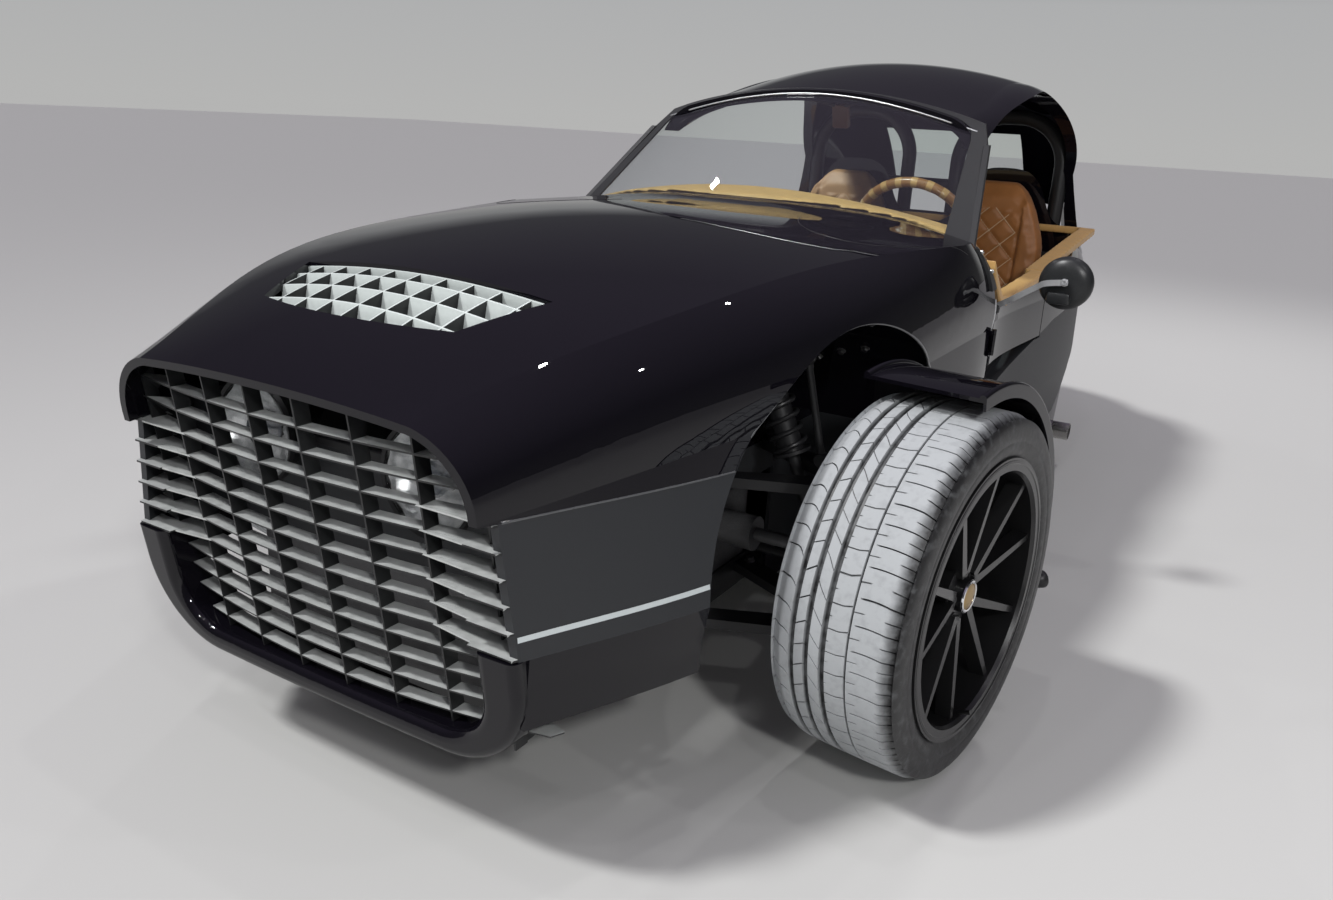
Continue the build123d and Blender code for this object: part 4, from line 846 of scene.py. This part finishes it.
def laid(node, starts, direction, rise, move=ORIGIN):
    """Where lines from the starts meet the node, raised along its normals and moved."""
    found = [seat_on(node, start, direction) for start in starts]
    return [f[0] + Vector(move) + f[1] * rise for f in found if f]


def in_two(name, mesh, mats, is_second):
    """An object in two materials; is_second picks faces for the second one by their normal."""
    mesh.materials.clear()
    for m in mats:
        mesh.materials.append(m)
    for f in mesh.polygons:
        f.material_index = 1 if is_second(f.normal) else 0
    return new_object(name, mesh)


# Grille: the CAD blades, made as shallow as in the photograph behind their front BLADE_EDGE, with a
# painted sheen that makes their upper faces pale on the black blades, and the level ones closed up to the
# tips
GRILLE_TOP, GRILLE_PITCH, BLADE_T = 0.644, 0.0375, 0.003
GRILLE_BEND = 1.750
CAD_DEEP, BLADE_DEEP, BLADE_EDGE = 0.07, 0.027, 0.018
END_X, SIDE_X, HIGH_Z = 0.353, 0.33, 0.60


def blade_front(x, level):
    """Front edge of a blade of the grille, in plan."""
    return -1.8099 + 0.0059 * (level - 2) + GRILLE_BEND - np.sqrt(GRILLE_BEND ** 2 - x ** 2)


mesh = nodes["grille"].data.copy()
points = coords(mesh)
front = blade_front(points[:, 0], (GRILLE_TOP - points[:, 2]) / GRILLE_PITCH)
deep = points[:, 1] - front
squeeze = (BLADE_DEEP - BLADE_EDGE) / (CAD_DEEP - BLADE_EDGE)
new_y = front + np.where(deep > BLADE_EDGE, BLADE_EDGE + (deep - BLADE_EDGE) * squeeze, deep)
moved = points[:, 1] - new_y
# Corners that come forward also come in, so that they stay inside the nose
inward = np.where(np.abs(points[:, 0]) > END_X, np.clip(moved * 0.75, 0, 0.06), 0)
points[:, 0] -= np.sign(points[:, 0]) * inward
points[:, 2] -= np.where((np.abs(points[:, 0]) > SIDE_X) & (points[:, 2] > HIGH_Z),
                         np.clip(moved * 0.6, 0, 0.03), 0)
points[:, 1] = new_y
mesh.vertices.foreach_set("co", points.ravel())
mesh.update()
# Faces that look up get the painted sheen colour
grille = in_two("grille_blades", mesh, [blade, blade_top_painted_sheen], lambda n: n.z > 0.7)
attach(grille, "chassis")
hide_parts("grille")
# The tips of the level blades are all in the painted sheen colour
tips = Build()
for level in range(2, 8):
    z = GRILLE_TOP - level * GRILLE_PITCH
    end = Vector((0.3712 + 0.00528 * (level - 2), -1.7928 + 0.0019 * (level - 2), 0))
    shape = [(0.240, blade_front(0.240, level) + 0.0003), (end.x, end.y), (end.x + 0.003, end.y + 0.009),
             (end.x - 0.012, end.y + 0.010), (0.350, blade_front(0.350, level) + 0.004),
             (0.240, blade_front(0.240, level) + 0.008)]
    for side in (-1, 1):
        outline = shape if side > 0 else shape[::-1]
        tips.prism([(side * x, y, z - BLADE_T / 2 + 0.0002) for x, y in outline],
                   (0, 0, BLADE_T - 0.0004))
tips.done("grille_tips", blade_top_painted_sheen, "chassis", "grille_black")

# Bonnet vent: pale cross blades; the sideways faces of the blades that run fore and aft are black as
# painted shade
mesh = nodes["hood_vent"].data.copy()
# Sideways faces get the black blade colour as painted shade
lattice = in_two("vent_blades_with_painted_shade", mesh, [vent, blade], lambda n: abs(n.x) > 0.7)
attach(lattice, "chassis")
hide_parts("hood_vent")

# Headlamps behind the grille: black bowl, faceted reflector in a pale, patchy painted reflection, and a
# clear front glass
lamp = Build()
lamp_front = Build()
LAMP = (0.184, -1.712, 0.566)
LAMP_RADIUS = 0.082
FACETS = 24
for side in (-1, 1):
    centre = Vector((side * LAMP[0], LAMP[1], LAMP[2]))
    r = LAMP_RADIUS
    lamp.slot = 0
    lamp.turned([(r, 0.0), (r + 0.006, -0.002), (r + 0.008, 0.006), (r + 0.004, 0.016), (r * 0.9, 0.034),
                 (r * 0.55, 0.052), (0, 0.055)], centre, Y_AXIS, 64)
    lamp.slot = 1
    rings = [(r * 0.985, 0.002), (r * 0.84, 0.013), (r * 0.68, 0.021), (r * 0.50, 0.028),
             (r * 0.33, 0.032)]
    rows = []
    for k, (rad, d) in enumerate(rings):
        row = []
        for i in range(FACETS):
            a = 2 * pi * (i + 0.5 * (k % 2)) / FACETS
            bump_in = 0.006 if (i + k) % 2 else 0.0
            row.append(centre + Vector((rad * cos(a), d + bump_in, rad * sin(a))))
        rows.append(row)
    lamp.grid(rows, around=True)
    lamp.slot = 2
    lamp.turned([(r * 0.33, 0.032), (r * 0.34, 0.012), (r * 0.30, 0.006), (r * 0.29, 0.012), (0, 0.008)],
                centre, Y_AXIS, 40)
    lamp.slot = 0
    for a in (20, 110, 200, 290):
        c = centre + Vector((cos(radians(a)), 0, sin(radians(a)))) * (r + 0.002)
        lamp.bolt(c, (0, -1, 0), 0.007, "socket")
    lamp.block((side * LAMP[0] - 0.012, LAMP[1] + 0.045, LAMP[2] - 0.05),
               (side * LAMP[0] + 0.012, -1.655, LAMP[2] + 0.05), 0.002)
    lamp_front.turned([(0.0, -0.010), (r * 0.3, -0.0092), (r * 0.6, -0.0068), (r * 0.85, -0.003),
                       (r * 0.98, 0.0), (r * 0.98, 0.0025), (r * 0.85, -0.0005), (r * 0.6, -0.0043),
                       (r * 0.3, -0.0067), (0.0, -0.0075)], centre, Y_AXIS, 64)
lamp.block((-LAMP[0], -1.672, 0.556), (LAMP[0], -1.657, 0.570), 0.002)
obj = lamp.done("lamp_bowls", [satin, facet, projector], "chassis", "lamp_clear", sharp=20.0)
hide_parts("headlamps")
lamp_front.done("lamp_glasses", lamp_glass, "chassis", "lamp_clear")

# Pale stripe and top bead along the front band, and a bead round each front arch; the top bead's grey is
# a painted highlight on the band's upper edge
ARCH_R = 0.434
for side_name, side in SIDES:
    stripe = Build()
    rows = []
    for i in range(60):
        y = -1.778 + (1.778 - 1.4735) * i / 59
        starts = [(side * 0.9, y, z) for z in (0.4055, 0.408, 0.411, 0.4135)]
        row = laid("band_front", starts, (-side, 0, 0), 0.0005)
        if len(row) == len(starts):
            rows.append(row)
    stripe.grid(rows)
    stripe.done("stripe_" + side_name, pale_line, "chassis", "band_grey")
    # The bead on the band's top edge is a painted highlight of that edge
    bead = Build()
    starts = [(side * 0.9, -1.779 + (1.779 - 1.405) * i / 39, 0.5695) for i in range(40)]
    line = laid("band_front", starts, (-side, 0, 0), 0.0002, (0, 0, 0.0025))
    if len(line) > 3:
        bead.tube(line, 0.0016, 8)
    arch = []
    for i in range(73):
        a = radians(-101 + 202 * i / 72)
        y = FRONT_Y + ARCH_R * sin(a)
        z = HUB_Z + ARCH_R * cos(a)
        best = None
        for node in ("nose_shell", "band_front", "chin", "band_rear_" + side_name, "skirt_" + side_name):
            found = seat_on(node, (side * 0.9, y, z), (-side, 0, 0))
            if found and abs(found[0].x) > (abs(best[0].x) if best else 0.43):
                best = found
        if best:
            edge = Vector((0, sin(a), cos(a)))
            arch.append(best[0] - edge * 0.004 - Vector((side * 0.002, 0, 0)))
    if len(arch) > 3:
        bead.tube(arch, 0.0028, 8)
    bead.done("bead_" + side_name, edge_grey_and_painted_highlight, "chassis", "gear_black")

# Bolts of the arch liner, a slim link beside the shock absorber, bolts of the windscreen feet, the
# seam of the bonnet, a bright line on the door's edge as a painted highlight and the marker at the rear
# of the fender
ARCH_BOLTS = [(0.366, 47.0), (0.424, 42.5), (0.480, 39.0)]
SEAM = [(0.234, -0.594), (0.262, -0.668), (0.300, -0.738), (0.345, -0.786), (0.400, -0.806),
        (0.455, -0.788), (0.515, -0.720), (0.561, -0.615), (0.590, -0.520)]
for side_name, side in SIDES:
    hard = Build()
    for x, deg in ARCH_BOLTS:
        a = radians(deg)
        out = Vector((0, sin(a), cos(a)))
        found = seat_on("nose_shell", Vector((side * x, FRONT_Y, HUB_Z)), out)
        if found:
            hard.bolt(found[0], -out, 0.013)
    hard.slot = 1
    top = Vector((side * 0.456, -1.012, 0.672))
    foot = Vector((side * 0.502, -1.012, 0.486))
    hard.tube([top + (foot - top) * t for t in (0, 0.08, 0.12, 0.88, 0.92, 1)],
              [0.0085, 0.0085, 0.0070, 0.0070, 0.0085, 0.0085], 14)
    for c in (top, foot):
        hard.turned([(0.0, -0.011), (0.012, -0.011), (0.0135, -0.008), (0.0135, 0.008), (0.012, 0.011),
                     (0.0, 0.011)], c, Y_AXIS, 24)
    hard.slot = 0
    for x, y in ((0.545, -0.352), (0.575, -0.345), (0.605, -0.352)):
        found = seat_on("screen_frame", (side * x, y, 1.4), (0, 0, -1))
        if found:
            hard.bolt(found[0], found[1], 0.009, "socket")
    hard.done("fixings_" + side_name, [zinc, satin], "chassis", "gear_black")
    seam = Build()
    starts = [(side * p.x, p.y, 1.4) for p in smooth_path([(x, y, 0) for x, y in SEAM], 6)]
    line = laid("nose_shell", starts, (0, 0, -1), -0.0003)
    if len(line) > 3:
        seam.tube(line, 0.0010, 6)
        seam.done("seam_" + side_name, satin, "chassis", "body_black")
    # Bright silver line down the door's front edge: painted highlight of the gap edge
    edge = Build()
    starts = [(side * 0.9, -0.300, 0.715 - 0.105 * i / 20) for i in range(21)]
    line = laid("door_" + side_name, starts, (-side, 0, 0), 0.0006)
    if len(line) > 3:
        edge.tube(line, 0.0022, 8)
        edge.done("door_edge_highlight_" + side_name, arm_silver, side_name + "_door", "body_black")
    marker = Build(WHEELS[side_name])
    a = radians(104)
    c = Vector((0.084, 0.361 * sin(a), 0.361 * cos(a)))
    marker.turned([(0.0, 0.0), (0.009, 0.0), (0.017, 0.010), (0.018, 0.022), (0.0165, 0.025),
                   (0.0, 0.026)], c, (0.55, 0.75, 0.1), 28)
    marker.done("marker_" + side_name, satin, "front_" + side_name + "_upright", "gear_black")

# Bright line along the upper edge of the windscreen, a painted highlight of the glass edge: the last hit
# of rising rays, as a smooth curve
spots = []
for i in range(61):
    x = -0.50 + 1.0 * i / 60
    best = None
    for k in range(160):
        found = seat_on("screen_glass", (x, -1.5, 1.08 + 0.001 * k), Y_AXIS)
        if found:
            best = found[0]
    if best:
        spots.append(tuple(best))
spots = np.array([p for p in spots if abs(p[0]) < 0.46])
rise = np.polyfit(spots[:, 0], spots[:, 2], 4)
back = np.polyfit(spots[:, 0], spots[:, 1], 4)
edge = Build()
edge.tube([(x, np.polyval(back, x) - 0.0015, np.polyval(rise, x) - 0.0005)
           for x in np.linspace(-0.445, 0.445, 81)], 0.0020, 8)
edge.done("screen_edge_highlight", arm_silver, "chassis", "frame_grey")

# Hard top latch at the middle of the windscreen, seen through the glass
latch = Build()
LATCH_X = 0.035
latch.block((-0.024, -0.012, -0.032), (0.024, 0.012, 0.032), 0.006, Matrix.Rotation(0.3, 4, "X"),
            (LATCH_X, 0.085, 1.105))
latch.slot = 1
latch.tube([(LATCH_X, 0.060, 1.138), (LATCH_X, 0.045, 1.150)], 0.006, 10)
for dx in (-1, 1):
    latch.tube(smooth_path([(LATCH_X + dx * 0.015, 0.070, 1.130), (LATCH_X + dx * 0.05, 0.055, 1.140),
                            (LATCH_X + dx * 0.115, 0.03, 1.148)], 5), 0.0045, 8)
latch.done("roof_latch", [brown, satin], "chassis", "gear_black")

# Rear lamps: ringed red lenses with a dark bezel
for side_name, side in SIDES:
    low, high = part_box("tail_lamp_" + side_name)
    cx, cz, y = (low[0] + high[0]) / 2, (low[2] + high[2]) / 2, high[1]
    r = (high[0] - low[0]) / 2
    lens = Build()
    lens.turned([(0.0, 0.0040), (r * 0.20, 0.0042), (r * 0.24, 0.0020), (r * 0.28, 0.0042),
                 (r * 0.50, 0.0036), (r * 0.54, 0.0014), (r * 0.58, 0.0034), (r * 0.82, 0.0022),
                 (r * 0.88, 0.0)], (cx, y, cz), Y_AXIS, 64)
    lens.slot = 1
    lens.turned([(r * 0.88, 0.0), (r * 0.89, 0.0045), (r * 0.95, 0.0055), (r * 0.995, 0.003),
                 (r * 0.995, -0.004)], (cx, y, cz), Y_AXIS, 64)
    lens.done("tail_lens_" + side_name, [lamp_red, satin], "chassis", "lamp_red")

# Floor, backdrop and lights
stage_mat = blank("floor", {"Base Color": (0.50, 0.50, 0.485, 1), "Roughness": 0.7})[0]
bpy.ops.mesh.primitive_plane_add(size=120, location=(0, 0, 0))
floor = bpy.context.object
floor.name = "floor"
floor.data.materials.append(stage_mat)

# The studio is pale along the horizon behind the car, and dark overhead and on the camera's side
world = bpy.data.worlds.new("world")
bpy.context.scene.world = world
world.use_nodes = True
nt = world.node_tree
sky = nt.nodes["Background"]
place = new_node(nt, "TexCoord")
parts = new_node(nt, "SeparateXYZ")
nt.links.new(place.outputs["Generated"], parts.inputs[0])


def sky_ramp(socket, stops):
    """Colours by height; each stop is a position and a colour."""
    fade = new_node(nt, "ValToRGB")
    nt.links.new(socket, fade.inputs["Fac"])
    ramp = fade.color_ramp
    while len(ramp.elements) < len(stops):
        ramp.elements.new(0.5)
    for element, (at, colour) in zip(ramp.elements, stops):
        element.position = at
        element.color = (*colour, 1)
    return fade.outputs["Color"]


OVERHEAD = [(0.5, (0.11, 0.10, 0.13)), (1.0, (0.25, 0.215, 0.30))]
PALE_SIDE = [(0.0, (0.46, 0.46, 0.455)), (0.11, (0.42, 0.425, 0.43)), (0.20, (0.10, 0.10, 0.11))]
DARK_SIDE = [(0.0, (0.10, 0.10, 0.10)), (0.30, (0.05, 0.05, 0.055))]
pale = sky_ramp(parts.outputs["Z"], PALE_SIDE + OVERHEAD)
dark = sky_ramp(parts.outputs["Z"], DARK_SIDE + OVERHEAD)
behind = new_node(nt, "MapRange", {"From Min": -0.25, "From Max": 0.05})
nt.links.new(parts.outputs["Y"], behind.inputs["Value"])
beside = new_node(nt, "MapRange", {"From Min": 0.22, "From Max": 0.07})
nt.links.new(parts.outputs["X"], beside.inputs["Value"])
where = new_node(nt, "Math", operation="MULTIPLY")
nt.links.new(behind.outputs["Result"], where.inputs[0])
nt.links.new(beside.outputs["Result"], where.inputs[1])
both = new_node(nt, "Mix", data_type="RGBA")
nt.links.new(where.outputs[0], both.inputs[0])
nt.links.new(dark, both.inputs[6])
nt.links.new(pale, both.inputs[7])
nt.links.new(both.outputs[2], sky.inputs["Color"])


def area_light(name, place, target, size, power):
    """A square light of power watts that points at the target."""
    data = bpy.data.lights.new(name, "AREA")
    data.energy = power
    data.size = size
    o = new_object(name, data)
    o.location = place
    o.rotation_euler = (Vector(target) - Vector(place)).to_track_quat("-Z", "Y").to_euler()
    return o


sun_data = bpy.data.lights.new("sun", "SUN")
sun_data.energy = 2.3
sun_data.angle = radians(7)
sun = new_object("sun", sun_data)
sun.rotation_euler = (-Vector((-0.50, -0.50, 1.0))).to_track_quat("-Z", "Y").to_euler()
area_light("back", (1.0, 4.5, 4.0), (0, 0, 0.3), 0.35, 80).visible_glossy = False
area_light("front", (3.2, -3.9, 3.0), (0.4, -0.9, 0.4), 0.35, 75)
area_light("low", (1.5, -5.0, 0.75), (0, -1.6, 0.45), 0.8, 26).visible_glossy = False
SPOTS = [(-2.2, -4.6, 3.3), (0.2, -4.9, 3.2), (-0.6, -2.2, 3.6), (1.7, -2.8, 3.4), (2.9, -0.8, 3.3),
         (-1.8, 0.6, 3.4), (-0.2, -3.6, 3.5), (1.2, 0.9, 3.5), (-1.2, -3.4, 3.6), (0.5, -1.2, 3.6)]
for i, spot in enumerate(SPOTS):
    area_light("spot" + str(i), spot, (0, -0.8, 0.6), 0.06, 6)

bpy.context.scene.view_settings.view_transform = "Standard"
